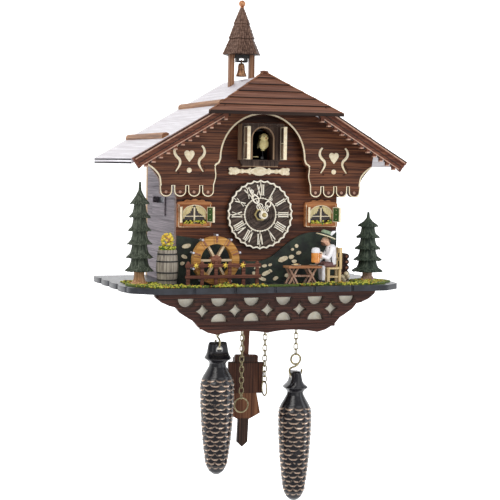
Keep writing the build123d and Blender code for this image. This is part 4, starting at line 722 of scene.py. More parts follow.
CURL = [(0.2, 71.4), (2.6, 68.2), (3.1, 64.0), (1.2, 60.4), (-2.0, 57.2), (-2.9, 53.4), (-1.4, 49.4),
        (1.8, 44.6)]
fret = Shape()
for side in (-1, 1):
    edge_line = lobed_edge(side)
    arch_start = len(edge_line) - 26
    ribbon(fret, edge_line[:20], 1.6, GABLE_Y - 0.25, 0.35, 0, inset=side * -0.8)
    ribbon(fret, edge_line[19:arch_start - 11], 1.05, GABLE_Y - 0.25, 0.35, 0, inset=side * -0.55)
    ribbon(fret, edge_line[arch_start - 12:], 1.7, GABLE_Y - 0.25, 0.35, 0, inset=side * -0.9)
    heart_x = side * HEART_X
    for x in (-2.5, 2.5):
        fret.ball((heart_x + x, GABLE_Y + 0.1, 63.3), (3.2, 0.75, 3.1))
    fret.prism([(heart_x + 5.5, 62.3), (heart_x + 3.2, 58.2), (heart_x, 54.4), (heart_x - 3.2, 58.2),
                (heart_x - 5.5, 62.3), (heart_x, 64.0)], GABLE_Y - 0.45, GABLE_Y + 0.9)
    fret.lathe(heart_x, GABLE_Y - 0.3, 45.9, [(0.1, 0), (1.6, -0.2), (2.6, 0.1), (2.75, 1.0)], 20, axis="y")
    for x in LOBES:
        fret.lathe(side * x, GABLE_Y - 0.2, 23.6, [(0.1, 0), (1.0, -0.1), (1.5, 0.15), (1.6, 0.9)], 16, 1,
                   axis="y")
    for x, flip in ((67.5, -1), (93.5, 1)):
        s_line = bend([(side * (x + flip * dx), z) for dx, z in CURL], 6)
        shares = [i / (len(s_line) - 1) for i in range(len(s_line))]
        widths = [0.35 + 1.15 * math.sin(math.pi * (0.15 + 0.8 * t)) for t in shares]
        fret.tube([(p.x, GABLE_Y - 0.05, p.y) for p in s_line], widths, 0, 8, flat=0.4)
fret.make("gable_inlays", [cream_line, pink_cream], sharp=50)

# ---- cuckoo doorway -------------------------------------------------------------------------------
# A dark arched surround glued to the wall with two small doors folded open beside it; inside it is
# black, and the painted bird stands on a wire arm that slides in and out over a dark sill.
surround_wood = wood("surround_wood", (0.018, 0.010, 0.008), (0.055, 0.032, 0.024), (0.13, 0.085, 0.062),
                     "z", 0.5)
tan_side = wood("tan_side", (0.20, 0.11, 0.06), (0.38, 0.24, 0.14), (0.52, 0.36, 0.23), "z", 0.55)
dress("cuckoo_surround", surround_wood, 0.3)

frame_trim = Shape()
DOORWAY_HALF, DOORWAY_FOOT, DOORWAY_SPRING = 11.3, 58.2, 79.7
arch_line = [Vector((DOORWAY_HALF, DOORWAY_FOOT))] + [
    Vector((DOORWAY_HALF * math.cos(a), DOORWAY_SPRING + DOORWAY_HALF * math.sin(a)))
    for a in [math.pi * k / 22 for k in range(23)]
] + [Vector((-DOORWAY_HALF, DOORWAY_FOOT))]
# the arch line is flush enough for the shut doors to pass in front of it
ribbon(frame_trim, arch_line, 1.5, -12.08, 0.2, 0, inset=-0.9)
frame_trim.box(23.3, 23.9, -11.8, -0.2, 57.4, 95.2, 0)
frame_trim.box(-23.9, -23.3, -11.8, -0.2, 57.4, 95.2, 0)
frame_trim.box(-23.4, 23.4, -12.5, -0.4, 94.9, 96.0, 1)
frame_trim.box(-22.5, 22.5, -12.6, -11.9, 92.4, 93.2, 1)
frame_trim.make("surround_trim", [tan_side, surround_wood], bevel=0.2)

black_card = paint("black_card", (0.006, 0.006, 0.006), (0.003, 0.003, 0.003), 0.9, 300)
lining = Shape()
LINING_Y = 43.6
lining.add([(x, LINING_Y, z) for x, z in ((-14, 56), (14, 56), (14, 93), (-14, 93))], [(0, 1, 2, 3)])
lining.make("dark_lining", [black_card])


def small_door(side, node, body):
    """One door leaf with panels and slats on both faces, standing open on its hinge as it hangs at rest."""
    hinge = Vector((side * 20.4, -13.9, 0))
    swing = math.radians(98.0 if side < 0 else 80.0)
    along = Vector((-side * math.cos(swing), -math.sin(swing), 0))
    # the face that is hidden when the door is shut looks at the other door when it is open
    across = Vector((along.y, -along.x, 0)) * (-side)
    leaf = Shape()

    def slab(u0, u1, w0, w1, z0, z1, slot):
        leaf.swung(hinge, along, across, (u0, u1), (w0, w1), (z0, z1), slot)

    slab(1.9, 19.9, -1.5, 1.5, 57.9, 92.3, 0)
    for u in (2.0, 18.6):
        slab(u, u + 1.3, 1.3, 1.75, 58, 92.2, 1)
        slab(u, u + 1.3, -1.75, -1.3, 58, 92.2, 1)
    for z in (58, 74.4, 91):
        slab(3, 19, 1.3, 1.72, z, z + 1.2, 1)
        slab(3, 19, -1.72, -1.3, z, z + 1.2, 1)
    for k in range(4):
        slab(5.3 + 3.4 * k, 5.9 + 3.4 * k, -1.72, -1.4, 60, 73.6, 2)
        slab(5.3 + 3.4 * k, 5.9 + 3.4 * k, 1.4, 1.72, 60, 90.2, 2)
    slab(19.8, 20.0, -1.4, 1.4, 58, 92.2, 1)
    leaf.tube([(hinge.x, hinge.y, 59), (hinge.x, hinge.y, 91)], 0.8, 3)
    for z in (63, 87):
        p = hinge + along * 2.6
        leaf.tube([(hinge.x, hinge.y, z), (p.x, p.y, z)], 0.7, 3)
    leaf.make(node + "_leaf", [surround_wood, cream_line, tan_side, black_iron], body=body, bevel=0.15,
              stands_for=[node])


small_door(-1, "left_cuckoo_door", "left_door")
small_door(1, "right_cuckoo_door", "right_door")

bird_yellow = paint("bird_yellow", (0.86, 0.76, 0.38), (0.76, 0.60, 0.24), 0.45, 420)
bird_wing = paint("bird_wing", (0.16, 0.13, 0.045), (0.07, 0.055, 0.02), 0.5, 420)
beak_red = paint("beak_red", (0.50, 0.10, 0.03), (0.35, 0.06, 0.02), 0.4, 420)
eye_black = paint("eye_black", (0.01, 0.01, 0.01), (0.005, 0.005, 0.005), 0.15, 400, 0.02)
cuckoo = Shape()
BIRD_LEAN = Matrix.Rotation(0.30, 3, "Y")
cuckoo.ball((4.0, -3.2, 74.6), (5.6, 3.3, 6.2), 0, 14, 20, BIRD_LEAN)
cuckoo.ball((4.4, -3.4, 81.2), (4.8, 3.3, 4.4), 0, 14, 20)
cuckoo.ball((-0.4, -2.2, 75.6), (2.0, 2.4, 6.6), 1, 10, 14, BIRD_LEAN)
cuckoo.ball((0.2, -3.6, 82.6), (1.9, 1.8, 2.0), 1, 8, 12)
cuckoo.lathe(5.4, -6.9, 80.6, [(1.2, 1.2), (0.8, 0.2), (0.1, -0.4)], 10, 2, axis="y")
for x in (3.4, 7.2):
    cuckoo.ball((x, -6.2, 82.2), (0.65, 0.5, 0.65), 3)
cuckoo.tube([(3.2, -3.0, 69.0), (3.2, -3.0, 60.8)], 0.5, 3)
cuckoo.lathe(3.2, -3.0, 67.4, [(0.2, 1.6), (1.6, 1.2), (2.0, 0), (0.2, -0.4)], 14, 0)
cuckoo.box(1.8, 4.6, -2.0, 51.8, 58.7, 60.9, 3)
cuckoo.box(-7.2, -1.6, -3.4, -2.2, 60.4, 61.4, 0)
cuckoo.make("cuckoo", [bird_yellow, bird_wing, beak_red, eye_black], body="bird", stands_for=["cuckoo_bird"])

sill = Shape()
sill.prism([(-22, 57), (22, 57), (19.5, 50.4), (-19.5, 50.4)], -4.0, 0, 1)
sill.box(-22.2, 22.2, -4.3, -0.2, 55.8, 57.0, 1)
sill.box(-20.2, 20.2, -4.2, -0.2, 50.4, 51.2, 2)
band = [
    (-33.0, 45.6), (-34.1, 47.2), (-33.6, 49.0), (-31.4, 49.6), (-29.6, 49.0), (-26.4, 49.4), (-23.8, 48.0),
    (-21.6, 47.1), (-19.4, 48.0), (-16.8, 47.0), (-12.6, 47.6), (-10.6, 49.2), (-8.6, 47.8), (-6.0, 48.9),
    (-3.2, 50.0), (0, 50.2),
]
outline = band + [(-x, z) for x, z in reversed(band[:-1])]
outline += [(x, 91.2 - z) for x, z in reversed(outline[1:-1])]
sill.prism(outline[::-1], -3.3, 0, 0)
for x, half, tall in ((-28.2, 4.6, 3.4), (-19.4, 2.0, 2.0), (-9.6, 2.0, 2.4), (0, 6.4, 3.6), (9.6, 2.0, 2.4),
                      (19.4, 2.0, 2.0), (28.2, 4.6, 3.4)):
    sill.ball((x, -3.3, 45.6), (half, 0.6, tall), 0)
sill.make("sill_and_band", [cream_line, surround_wood, tan_side], bevel=0.2, stands_for=["doorway_trim"])

# ---- dial and hands -------------------------------------------------------------------------------
# A turned disc of dark stained wood with fine grooves, a moulded ivory ring with pointed scallops,
# a beaded inner ring and Roman numerals between them, and two fretted ivory hands on a brass hub.
dial_wood = wood("dial_wood", (0.012, 0.008, 0.006), (0.040, 0.026, 0.020), (0.105, 0.072, 0.056), "arch",
                 0.4)
ivory = paint("ivory", (0.95, 0.90, 0.78), (0.86, 0.77, 0.60), 0.42, 600, 0.08)
aged_brass = paint("aged_brass", (0.55, 0.44, 0.20), (0.34, 0.26, 0.11), 0.34, 500, 0.12, metal=0.9)

disc = Shape()
disc_profile = [(4.9, -6.0), (6.2, -6.3)]
for r in (8.2, 11.2, 14.2):
    disc_profile += [(r - 0.5, -6.5), (r - 0.25, -5.9), (r + 0.25, -5.9), (r + 0.5, -6.5)]
disc_profile += [(17.5, -6.4), (34.6, -6.3), (35.6, -5.8), (36.0, -4.6), (36.0, 0)]
disc.lathe(0, 0, 0, disc_profile, 96, axis="y")
disc.make("dial_face", [dial_wood], sharp=30, stands_for=["dial_disc"])
LETTERS = {"I": 2.0, "V": 4.2, "X": 4.4}
HOURS = ["XII", "I", "II", "III", "IIII", "V", "VI", "VII", "VIII", "IX", "X", "XI"]
POINTS = 30


def ring_strip(shape, inner, outer, y0, y1, steps, slot=0):
    """A flat ring whose inner and outer radius follow functions of the angle."""
    verts = []
    for k in range(steps):
        a = 2 * math.pi * k / steps
        for r, y in ((inner(a), y1), (inner(a), y0), (outer(a), y0), (outer(a), y1)):
            verts.append((r * math.sin(a), y, r * math.cos(a)))
    faces = []
    for k in range(steps):
        b, c = 4 * k, 4 * ((k + 1) % steps)
        faces += [(b + i, b + i + 1, c + i + 1, c + i) for i in range(3)]
    shape.add(verts, faces, slot)


def scallop(a):
    """Distance out to the pointed edge: points in line with the hours, sagging arcs between them."""
    phase = (a * POINTS / (2 * math.pi)) % 1.0
    return 35.3 + 1.5 * abs(2 * phase - 1) ** 1.7


figures = Shape()
ring_strip(figures, lambda a: scallop(a) - 1.55, scallop, -8.0, -6.2, 360)
ring_strip(figures, lambda a: 16.9, lambda a: 17.9, -7.6, -6.2, 96)
for k in range(40):
    a = 2 * math.pi * k / 40
    figures.ball((17.5 * math.sin(a), -7.3, 17.5 * math.cos(a)), (0.95, 0.75, 0.95), 0, 5, 8)


def stroke(hour, x0, r0, x1, r1, width):
    """One bar of a numeral, from (across, out) to (across, out), on the hour's own radius."""
    a = 2 * math.pi * hour / 12
    c, s = math.cos(a), math.sin(a)
    run = Vector((x1 - x0, r1 - r0)).normalized()
    side = Vector((-run.y, run.x)) * width / 2
    corners = [Vector((x0, r0)) + side, Vector((x1, r1)) + side, Vector((x1, r1)) - side,
               Vector((x0, r0)) - side]
    outline = [(p.x * c + p.y * s, -p.x * s + p.y * c) for p in corners]
    figures.prism(outline, -7.7, -6.2)


for hour, text in enumerate(HOURS):
    width = sum(LETTERS[c] for c in text)
    pen = -width / 2
    for c in text:
        w = LETTERS[c]
        middle = pen + w / 2
        if c == "I":
            stroke(hour, middle, 20.6, middle, 31.4, 1.0)
            for r in (20.6, 31.4):
                stroke(hour, middle - 0.95, r, middle + 0.95, r, 0.55)
        elif c == "V":
            stroke(hour, middle - w / 2 + 0.4, 31.4, middle, 20.4, 1.15)
            stroke(hour, middle + w / 2 - 0.4, 31.4, middle, 20.4, 0.6)
        else:
            stroke(hour, middle - w / 2 + 0.4, 31.4, middle + w / 2 - 0.4, 20.6, 1.15)
            stroke(hour, middle + w / 2 - 0.4, 31.4, middle - w / 2 + 0.4, 20.6, 0.6)
        pen += w
    stroke(hour, 0, 17.6, 0, 20.8, 0.6)
    stroke(hour, 0, 31.3, 0, 34.6, 0.6)
figures.make("numerals_and_rings", [ivory], bevel=0.12, stands_for=["numeral_ring"])


def carved_hand(name, node, body, turn, y, length, leaf):
    """A flat fretted hand: ringed hub, waisted stem with side leaves, pierced heart and a point."""
    hand = Shape()
    c, s = math.cos(turn), math.sin(turn)

    def lay(points):
        return [(px * c - pz * s, px * s + pz * c) for px, pz in points]

    def bar(points, width, depth=0.9):
        ribbon(hand, lay(points), width, y - depth, depth)

    ring_strip(hand, lambda a: 1.6, lambda a: 4.0, y - 1.0, y, 40)
    bar([(-0.7, 3.4), (-0.9, length * 0.3), (-0.4, length * 0.42)], 0.9)
    bar([(0.7, 3.4), (0.9, length * 0.3), (0.4, length * 0.42)], 0.9)
    for side in (-1, 1):
        loop = [(side * leaf * math.sin(math.pi * t) * (1.15 - 0.5 * t), length * (0.40 + 0.36 * t))
                for t in [k / 12 for k in range(13)]]
        bar(loop, 1.25)
        curl = [(side * 0.5, length * 0.40), (side * leaf * 0.75, length * 0.36),
                (side * leaf * 1.05, length * 0.29), (side * leaf * 0.7, length * 0.25)]
        bar([tuple(p) for p in bend(curl, 4)], 0.85)
        tip = [(side * 0.3, length * 0.76), (side * leaf * 0.55, length * 0.83), (side * 0.2, length * 0.9)]
        bar([tuple(p) for p in bend(tip, 4)], 0.75)
    bar([(0, length * 0.42), (0, length * 0.52)], 1.0)
    bar([(0, length * 0.66), (0, length * 0.98)], 0.95)
    verts = lay([(0, length), (-0.9, length * 0.9), (0.9, length * 0.9)])
    hand.prism(verts, y - 0.9, y)
    hand.make(name, [ivory], body=body, bevel=0.1, stands_for=[node])


carved_hand("minute_pointer", "minute_hand", "minute", math.radians(30), -18.6, 34, 3.3)
carved_hand("hour_pointer", "hour_hand", "hour", math.radians(-27.5), -14.1, 22.6, 3.2)
hub = Shape()
spindle = [(0.1, -21.7), (1.4, -21.6), (2.2, -21.0), (2.4, -20.2), (2.4, -19.8), (1.5, -19.7), (1.5, 14)]
hub.lathe(0, 0, 0, spindle, 24, axis="y")
hub.make("minute_spindle", [aged_brass], body="minute", stands_for=["minute_arbor"])
tube = Shape()
tube.lathe(0, 0, 0, [(1.6, -15.7), (2.6, -15.6), (2.6, -2), (2.55, 12), (1.6, 12)], 24, axis="y")
tube.make("hour_pipe", [aged_brass], body="hour")
nut = Shape()
nut.lathe(0, 0, 0, [(4.9, -8.3), (5.9, -8.3), (7.0, -7.9), (7.0, -6.4), (4.9, -6.3)], 6, axis="y")
nut.make("fixing_nut", [aged_brass], bevel=0.2, stands_for=["movement_nut"])

# ---- windows --------------------------------------------------------------------------------------
# Two small printed-wood plaques with a scalloped top and a cut-out: dark panes behind parted lace
# curtains, a pale cross bar, a box of dyed moss and flowers, and shutters standing open on the wall.
WINDOW_X = 71.2
plaque_wood = wood("plaque_wood", (0.12, 0.035, 0.012), (0.34, 0.115, 0.038), (0.55, 0.24, 0.09), "x", 0.45)
lace = paint("lace", (0.85, 0.74, 0.42), (0.70, 0.55, 0.25), 0.6, 1500, 0.4)
pane = paint("pane", (0.035, 0.015, 0.012), (0.015, 0.007, 0.006), 0.12, 300, 0.02)
shutter_green = paint("shutter_green", (0.045, 0.12, 0.025), (0.028, 0.08, 0.016), 0.45, 500)
moss_lime = paint("moss_lime", (0.62, 0.60, 0.08), (0.34, 0.36, 0.04), 0.85, 700, 0.4)
petal_yellow = paint("petal_yellow", (0.85, 0.66, 0.10), (0.75, 0.45, 0.04), 0.5, 700)
leaf_green = paint("leaf_green", (0.10, 0.22, 0.03), (0.05, 0.11, 0.015), 0.6, 700)

PLAQUE_MIDDLE_Z = -1


def reach(outline, cx, ray):
    """How far a ray from the middle of a plaque runs before it meets an outline."""
    best = 0.0
    middle = Vector((cx, PLAQUE_MIDDLE_Z))
    for i in range(len(outline)):
        p = Vector(outline[i]) - middle
        q = Vector(outline[(i + 1) % len(outline)]) - middle
        cross = ray.x * (q - p).y - ray.y * (q - p).x
        if abs(cross) > 1e-9:
            t = (p.x * (q - p).y - p.y * (q - p).x) / cross
            u = (p.x * ray.y - p.y * ray.x) / cross
            if t > 0 and -1e-6 <= u <= 1 + 1e-6:
                best = max(best, t)
    return best


def plaque_board(plaque, cx, steps=56):
    """The board, built as a ring between its scalloped outline and the arched hole, over a dark pane."""
    outline = [(cx - 19, -13.7), (cx - 19, 11.4)]
    for bx, bz, r in ((-15.5, 11.4, 3.5), (-8, 13.0, 4.0), (0, 13.9, 4.0), (8, 13.0, 4.0), (15.5, 11.4, 3.5)):
        outline += [(cx + bx - r * math.cos(a), bz + 0.62 * r * math.sin(a))
                    for a in [math.pi * k / 6 for k in range(7)]]
    outline += [(cx + 19, 11.4), (cx + 19, -13.7)]
    arch = [(cx + 13 * math.cos(a), 1.0 + 9.0 * math.sin(a)) for a in [math.pi * k / 14 for k in range(15)]]
    hole = [(cx + 13, -9.5)] + arch + [(cx - 13, -9.5)]
    verts, faces = [], []
    for k in range(steps):
        a = 2 * math.pi * k / steps
        ray = Vector((math.cos(a), math.sin(a)))
        inner, outer = reach(hole, cx, ray), reach(outline, cx, ray)
        for r, y in ((inner, -0.1), (inner, -3.0), (outer, -3.0), (outer, 0)):
            verts.append((cx + ray.x * r, y, PLAQUE_MIDDLE_Z + ray.y * r))
    for k in range(steps):
        b, c = 4 * k, 4 * ((k + 1) % steps)
        faces += [(b + i, c + i, c + i + 1, b + i + 1) for i in range(3)]
    plaque.add(verts, faces, 0)
    plaque.box(cx - 15, cx + 15, -0.7, 0, -11, 11.5, 2)
    ribbon(plaque, arch, 0.7, -3.25, 0.4, 1, inset=0.3)


def curtain(plaque, cx, hand, pleats=8):
    """One lace curtain, drawn aside in pleats that get shorter towards the middle."""
    folds = []
    for k in range(pleats + 1):
        t = k / pleats
        low = 9.5 - 14.5 * t ** 0.8 + 1.0 * math.cos(9 * t)
        folds.append((cx + hand * (0.4 + 12.3 * t), 10.2 - 3.2 * t * t, low))
    for k in range(pleats):
        x0, z0, low0 = folds[k]
        x1, z1, low1 = folds[k + 1]
        y = -1.4 - 0.5 * (k % 2)
        y_next = -1.9 + 0.5 * (k % 2)
        plaque.add([(x0, y, z0), (x0, y + 0.2, low0), (x1, y_next, low1), (x1, y_next, z1)],
                   [(0, 1, 2, 3)], 3)
        plaque.ball((x0, y - 0.1, low0), (0.75, 0.35, 0.7), 3, 5, 6)


def shutter(plaque, cx, hand):
    """An open shutter: plain wood outside, green towards the window, edged and studded with cream."""
    swing = math.radians(110)
    along = Vector((-hand * math.cos(swing), -math.sin(swing), 0))
    across = Vector((-along.y, along.x, 0))
    if across.x > 0:
        across = -across
    hinge = Vector((cx + hand * 14.6, -4.4, 0))
    left_face, right_face = (0, 7) if hand < 0 else (7, 0)
    plaque.swung(hinge, along, across, (-1, 9.5), (0.0, 1.0), (-8, 8), left_face)
    plaque.swung(hinge, along, across, (-1, 9.5), (-1.0, 0.0), (-8, 8), right_face)
    edges = [((8.6, 9.6), (-8, 8)), ((-1.1, -0.3), (-8, 8)), ((-1, 9.5), (7.2, 8.1)),
             ((-1, 9.5), (-8.1, -7.2))]
    for out, tall in edges:
        plaque.swung(hinge, along, across, out, (-1.12, 1.12), tall, 1)
    for z in (-5, 0, 5):
        p = hinge + along * 4.3 + across * 1.1
        plaque.ball((p.x, p.y, z), (0.5, 0.5, 0.5), 1, 5, 6)


for side in (-1, 1):
    plaque = Shape()
    cx = side * WINDOW_X
    plaque_board(plaque, cx)
    for hand in (-1, 1):
        curtain(plaque, cx, hand)
    plaque.box(cx - 0.75, cx + 0.75, -2.6, -0.6, -9, 7.5, 1)
    plaque.box(cx - 12.5, cx + 12.5, -2.1, -0.6, -2.4, -1.5, 1)
    plaque.box(cx - 13, cx + 13, -5.6, -3.0, -12.6, -9.8, 0)
    for _ in range(46):
        x, z = random.uniform(-12, 12), random.uniform(-11.2, -6.4)
        kind = random.choice((4, 4, 4, 4, 5, 6))
        s = random.uniform(0.8, 1.5)
        plaque.ball((cx + x, random.uniform(-5.2, -3.4), z), (s, s * 0.8, s * 0.8), kind, 5, 7)
    for x in (-17.2, 17.2):
        plaque.box(cx + x - 0.3, cx + x + 0.3, -3.3, -2.9, -12.6, 10.4, 1)
    plaque.box(cx - 17.2, cx + 17.2, -3.3, -2.9, -13.2, -12.6, 1)
    for hand in (-1, 1):
        shutter(plaque, cx, hand)
    plaque.make("window_left" if side < 0 else "window_right", [
        plaque_wood, cream_line, pane, lace, moss_lime, petal_yellow, leaf_green, shutter_green,
    ], bevel=0.12, sharp=35, stands_for=["windows"])

# ---- yard: footing, moss and deck edge ------------------------------------------------------------
# The foot of the wall is a dark green painted board with thin pale pebbles glued on; the deck is
# strewn with dyed lime and orange flock, and its glossy edge is cut in shallow scallops.
stone_green = paint("footing_green", (0.022, 0.036, 0.021), (0.007, 0.010, 0.008), 0.65, 120, 0.4)
pebble = paint("pebble", (0.84, 0.74, 0.52), (0.62, 0.50, 0.32), 0.55, 350, 0.25)
dress("stone_footing", stone_green)
pebbles = Shape()
# each pebble's middle (x, z) and its half width and half height
spots = [
    (-80, -33, 5.2, 2.4), (-82, -44, 3.6, 2.0), (-84, -51, 2.6, 2.0), (-1, -56.2, 4.4, 1.6),
    (-4, -62.5, 3.4, 2.2), (9, -62.4, 5.4, 2.4), (5, -68.4, 4.6, 2.0), (14, -60.0, 2.2, 1.6),
    (13.4, -53.6, 2.2, 1.5), (7, -54.6, 3.0, 1.8), (20, -68, 3.4, 2.0), (28.4, -47.4, 6.4, 3.0),
    (37.6, -45.4, 3.2, 2.4), (41, -50, 3, 2), (43.4, -33.6, 2.2, 2.2), (38.8, -37.4, 1.7, 1.5),
    (46, -41, 3.0, 2.2), (33, -65, 3.0, 2), (62, -64, 3, 2),
]
for px, pz, hw, hh in spots:
    tilt = random.uniform(-0.5, 0.5)
    shape = []
    for k in range(9):
        a = 2 * math.pi * k / 9
        r = random.uniform(0.85, 1.05)
        dx, dz = hw * r * math.cos(a), hh * r * math.sin(a)
        shape.append((px + dx * math.cos(tilt) - dz * math.sin(tilt),
                      pz + dx * math.sin(tilt) + dz * math.cos(tilt)))
    pebbles.prism(shape, -3.6, -2.3)
for k in range(5):
    pebbles.ball((92.5 + 3.2 * (k % 3), -9 - 2 * k, -70 + 3.4 * (k // 2)), (3.0, 2.6, 2.6), 0, 6, 9)
pebbles.make("pebbles", [pebble], bevel=0.5)

moss_amber = paint("moss_amber", (0.55, 0.33, 0.05), (0.36, 0.17, 0.02), 0.85, 700, 0.4)
moss_dark = paint("moss_dark", (0.12, 0.17, 0.03), (0.05, 0.08, 0.015), 0.9, 700, 0.4)
dress("moss", moss_dark)
flock = Shape()


def strew(count, x0, x1, y0, y1, height):
    """Scatters crumbs of flock over an oval patch of the deck, heaped up in its middle."""
    for _ in range(count):
        a, r = random.uniform(0, 2 * math.pi), math.sqrt(random.random())
        x = (x0 + x1) / 2 + (x1 - x0) / 2 * r * math.cos(a)
        y = (y0 + y1) / 2 + (y1 - y0) / 2 * r * math.sin(a)
        s = random.uniform(0.7, 1.5)
        z = DECK_TOP + 0.5 + random.random() * height * (1.15 - r)
        flock.ball((x, y, z), (s, s * random.uniform(0.7, 1), s * 0.7), random.choice((0, 0, 0, 1, 2)), 4, 5,
                   Matrix.Rotation(random.uniform(0, 3), 3, "Z"))


strew(520, -146, -98, -36, 14, 2.4)
strew(200, -144, -118, -20, 40, 2.4)
strew(260, -132, -68, -50, -38, 2.8)
strew(150, -66, -30, -51, -41, 4.0)
strew(90, -30, 0, -51, -43, 3.0)
strew(420, 24, 130, -48, -32, 3.0)
strew(480, 104, 146, -34, 13, 3.0)
flock.make("flock", [moss_lime, moss_amber, moss_dark], sharp=80)

# ---- yard: trees and barrel -----------------------------------------------------------------------
# Fir trees turned on a lathe, their skirts shaved up into thin curled fins and dyed green, on bare
# flared trunks. Between the left one and the wheel stands a hooped barrel with a bunch of flowers.
fin_green = wood("fin_green", (0.008, 0.012, 0.007), (0.034, 0.043, 0.027), (0.11, 0.125, 0.09), "z", 0.6,
                 0.25)
fin_dark = wood("fin_dark", (0.006, 0.010, 0.007), (0.022, 0.034, 0.022), (0.08, 0.10, 0.07), "z", 0.6, 0.25)
trunk_tan = wood("trunk_tan", (0.20, 0.09, 0.04), (0.42, 0.21, 0.10), (0.60, 0.36, 0.20), "z", 0.6)
trunk_pink = wood("trunk_pink", (0.24, 0.13, 0.09), (0.46, 0.28, 0.20), (0.64, 0.46, 0.35), "z", 0.6)
FINS = 22


def fir(name, x, y, height, tiers, spread, foot, green, trunk):
    """A tree with its skirts of fins in tiers that get smaller upwards, above a trunk foot mm tall."""
    tree = Shape()
    base = DECK_TOP + 1.6
    step = 0.745 * (height - foot) / (tiers - 1)
    flared = [(0.2, 0), (9.4, 0.1), (7.4, 1.6), (5.9, 4), (5.4, foot - 6), (5.4, foot - 2), (0.2, foot - 2)]
    tree.lathe(x, y, base, flared, 24, 1)
    for i in range(tiers):
        r = spread * (1 - 0.34 * i / (tiers - 1))
        z = DECK_TOP + foot + i * step
        last = i == tiers - 1
        top = height - foot - i * step - 0.4 if last else step * 1.08
        slim = 0.10 if last else 0.52
        verts = []
        for k in range(FINS * 2):
            a = math.pi * k / FINS
            ragged = 1.0 if k % 2 == 0 else 0.90
            tip_r = r * ragged * random.uniform(0.95, 1.0)
            droop = random.uniform(-0.2, 0.7)
            fin = [
                (r * slim, z + top),
                (r * (slim + 0.06), z + top * 0.62),
                (r * (slim * 0.5 + 0.40), z + top * 0.36),
                (tip_r * 0.86, z + 2.4 + droop),
                (tip_r, z + 0.7 + droop),
                (tip_r * 0.97, z - 0.1 + droop),
                (r * 0.5, z + 1.6),
            ]
            for rr, zz in fin:
                twist = a + 0.08 * (rr / r)
                verts.append((x + rr * math.cos(twist), y + rr * math.sin(twist), zz))
        n, per = FINS * 2, len(fin)
        faces = []
        for k in range(n):
            b, c = per * k, per * ((k + 1) % n)
            faces += [(b + j, b + j + 1, c + j + 1, c + j) for j in range(per - 1)]
        if last:
            faces.append(tuple(per * k for k in range(n)))
        tree.add(verts, faces, 0)
    return tree.make(name, [green, trunk], sharp=50)


left_fir = fir("fir_tree_left", -131, -6, 106.5, 6, 15.7, 14, fin_green, trunk_tan)
right_fir = fir("fir_tree_right", 126, -5, 76, 5, 17.9, 10.5, fin_dark, trunk_pink)
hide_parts("fir_trees")
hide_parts("fir_trees")

stave = wood("stave_wood", (0.12, 0.10, 0.085), (0.30, 0.26, 0.21), (0.48, 0.43, 0.35), "z", 0.6, 0.2)
barrel = Shape()
BARREL_X, BARREL_Y = -103, -12


def staves(r, h, a):
    """Fourteen shallow joints between the staves."""
    return (r * (1 - 0.035 * (abs(math.sin(a * 7)) < 0.16)), h)


barrel.lathe(BARREL_X, BARREL_Y, DECK_TOP + 1.6, [
    (0.2, 0), (9.5, 0), (9.8, 0.6), (10.6, 7), (11.2, 13), (11.4, 17.4), (11.2, 22), (10.6, 28), (9.8, 34.2),
    (9.6, 34.9), (8.6, 34.9), (8.4, 33.6), (0.2, 33.6),
], 84, 0, warp=staves)
for z in (4.5, 12.0, 23.5, 31.0):
    r = 11.45 - 0.0058 * (z - 17.4) ** 2
    hoop = [(r - 0.5, 0), (r + 0.22, 0.1), (r + 0.22, 1.5), (r - 0.5, 1.6)]
    barrel.lathe(BARREL_X, BARREL_Y, DECK_TOP + z + 0.4, hoop, 48, 1)
for _ in range(120):
    a, r = random.uniform(0, 6.28), 8.6 * math.sqrt(random.random())
    place = (BARREL_X + r * math.cos(a), BARREL_Y + r * math.sin(a),
             DECK_TOP + 36.4 + random.uniform(-1.2, 3.4))
    barrel.ball(place, (1.3, 1.1, 0.9), random.choice((2, 2, 3)), 4, 6)
for _ in range(60):
    a, t = random.uniform(0, 6.28), random.random()
    r = 5.6 * math.sin(math.pi * (0.25 + 0.6 * t))
    place = (BARREL_X + r * math.cos(a), BARREL_Y + r * math.sin(a), DECK_TOP + 41 + 12 * t)
    barrel.ball(place, (1.5, 1.3, 1.3), random.choice((4, 4, 4, 2)), 5, 6)
barrel.ball((-103.6, -15.8, DECK_TOP + 47), (2.1, 1.4, 3.0), 5, 8, 10)
barrel.make("flower_tub", [stave, black_iron, moss_lime, leaf_green, petal_yellow, trunk_tan], sharp=45,
            stands_for=["flower_barrel"])

# ---- yard: mill wheel and fence -------------------------------------------------------------------
# The mill wheel is sawn from pale wood: a broad rim with ten silvered paddles, six thin spokes and a
# red-brown hub, turned by a little motor behind the wall. A low rail fence with star flowers stands
# in front of it.
wheel_x, wheel_z, wheel_back = -53.5, -46.8, -15.6
ochre = wood("ochre_wood", (0.20, 0.075, 0.014), (0.42, 0.19, 0.04), (0.60, 0.33, 0.10), "x", 0.5)
spoke_wood = wood("spoke_wood", (0.38, 0.25, 0.13), (0.58, 0.43, 0.26), (0.74, 0.60, 0.41), "x", 0.5)
hub_brown = wood("hub_brown", (0.08, 0.025, 0.015), (0.22, 0.085, 0.05), (0.36, 0.17, 0.10), "x", 0.5)
silver = paint("paddle_silver", (0.70, 0.70, 0.74), (0.45, 0.45, 0.52), 0.3, 400, 0.1, metal=0.7)
mill = Shape()
rim = [(16.9, wheel_back), (17.1, wheel_back - 9), (25.0, wheel_back - 9), (25.0, wheel_back)]
RIM_STEPS = 72
verts, faces = [], []
for k in range(RIM_STEPS):
    a = 2 * math.pi * k / RIM_STEPS
    for r, y in rim:
        verts.append((wheel_x + r * math.cos(a), y, wheel_z + r * math.sin(a)))
for k in range(RIM_STEPS):
    b, c = 4 * k, 4 * ((k + 1) % RIM_STEPS)
    faces += [(b + i, b + (i + 1) % 4, c + (i + 1) % 4, c + i) for i in range(4)]
mill.add(verts, faces, 0)


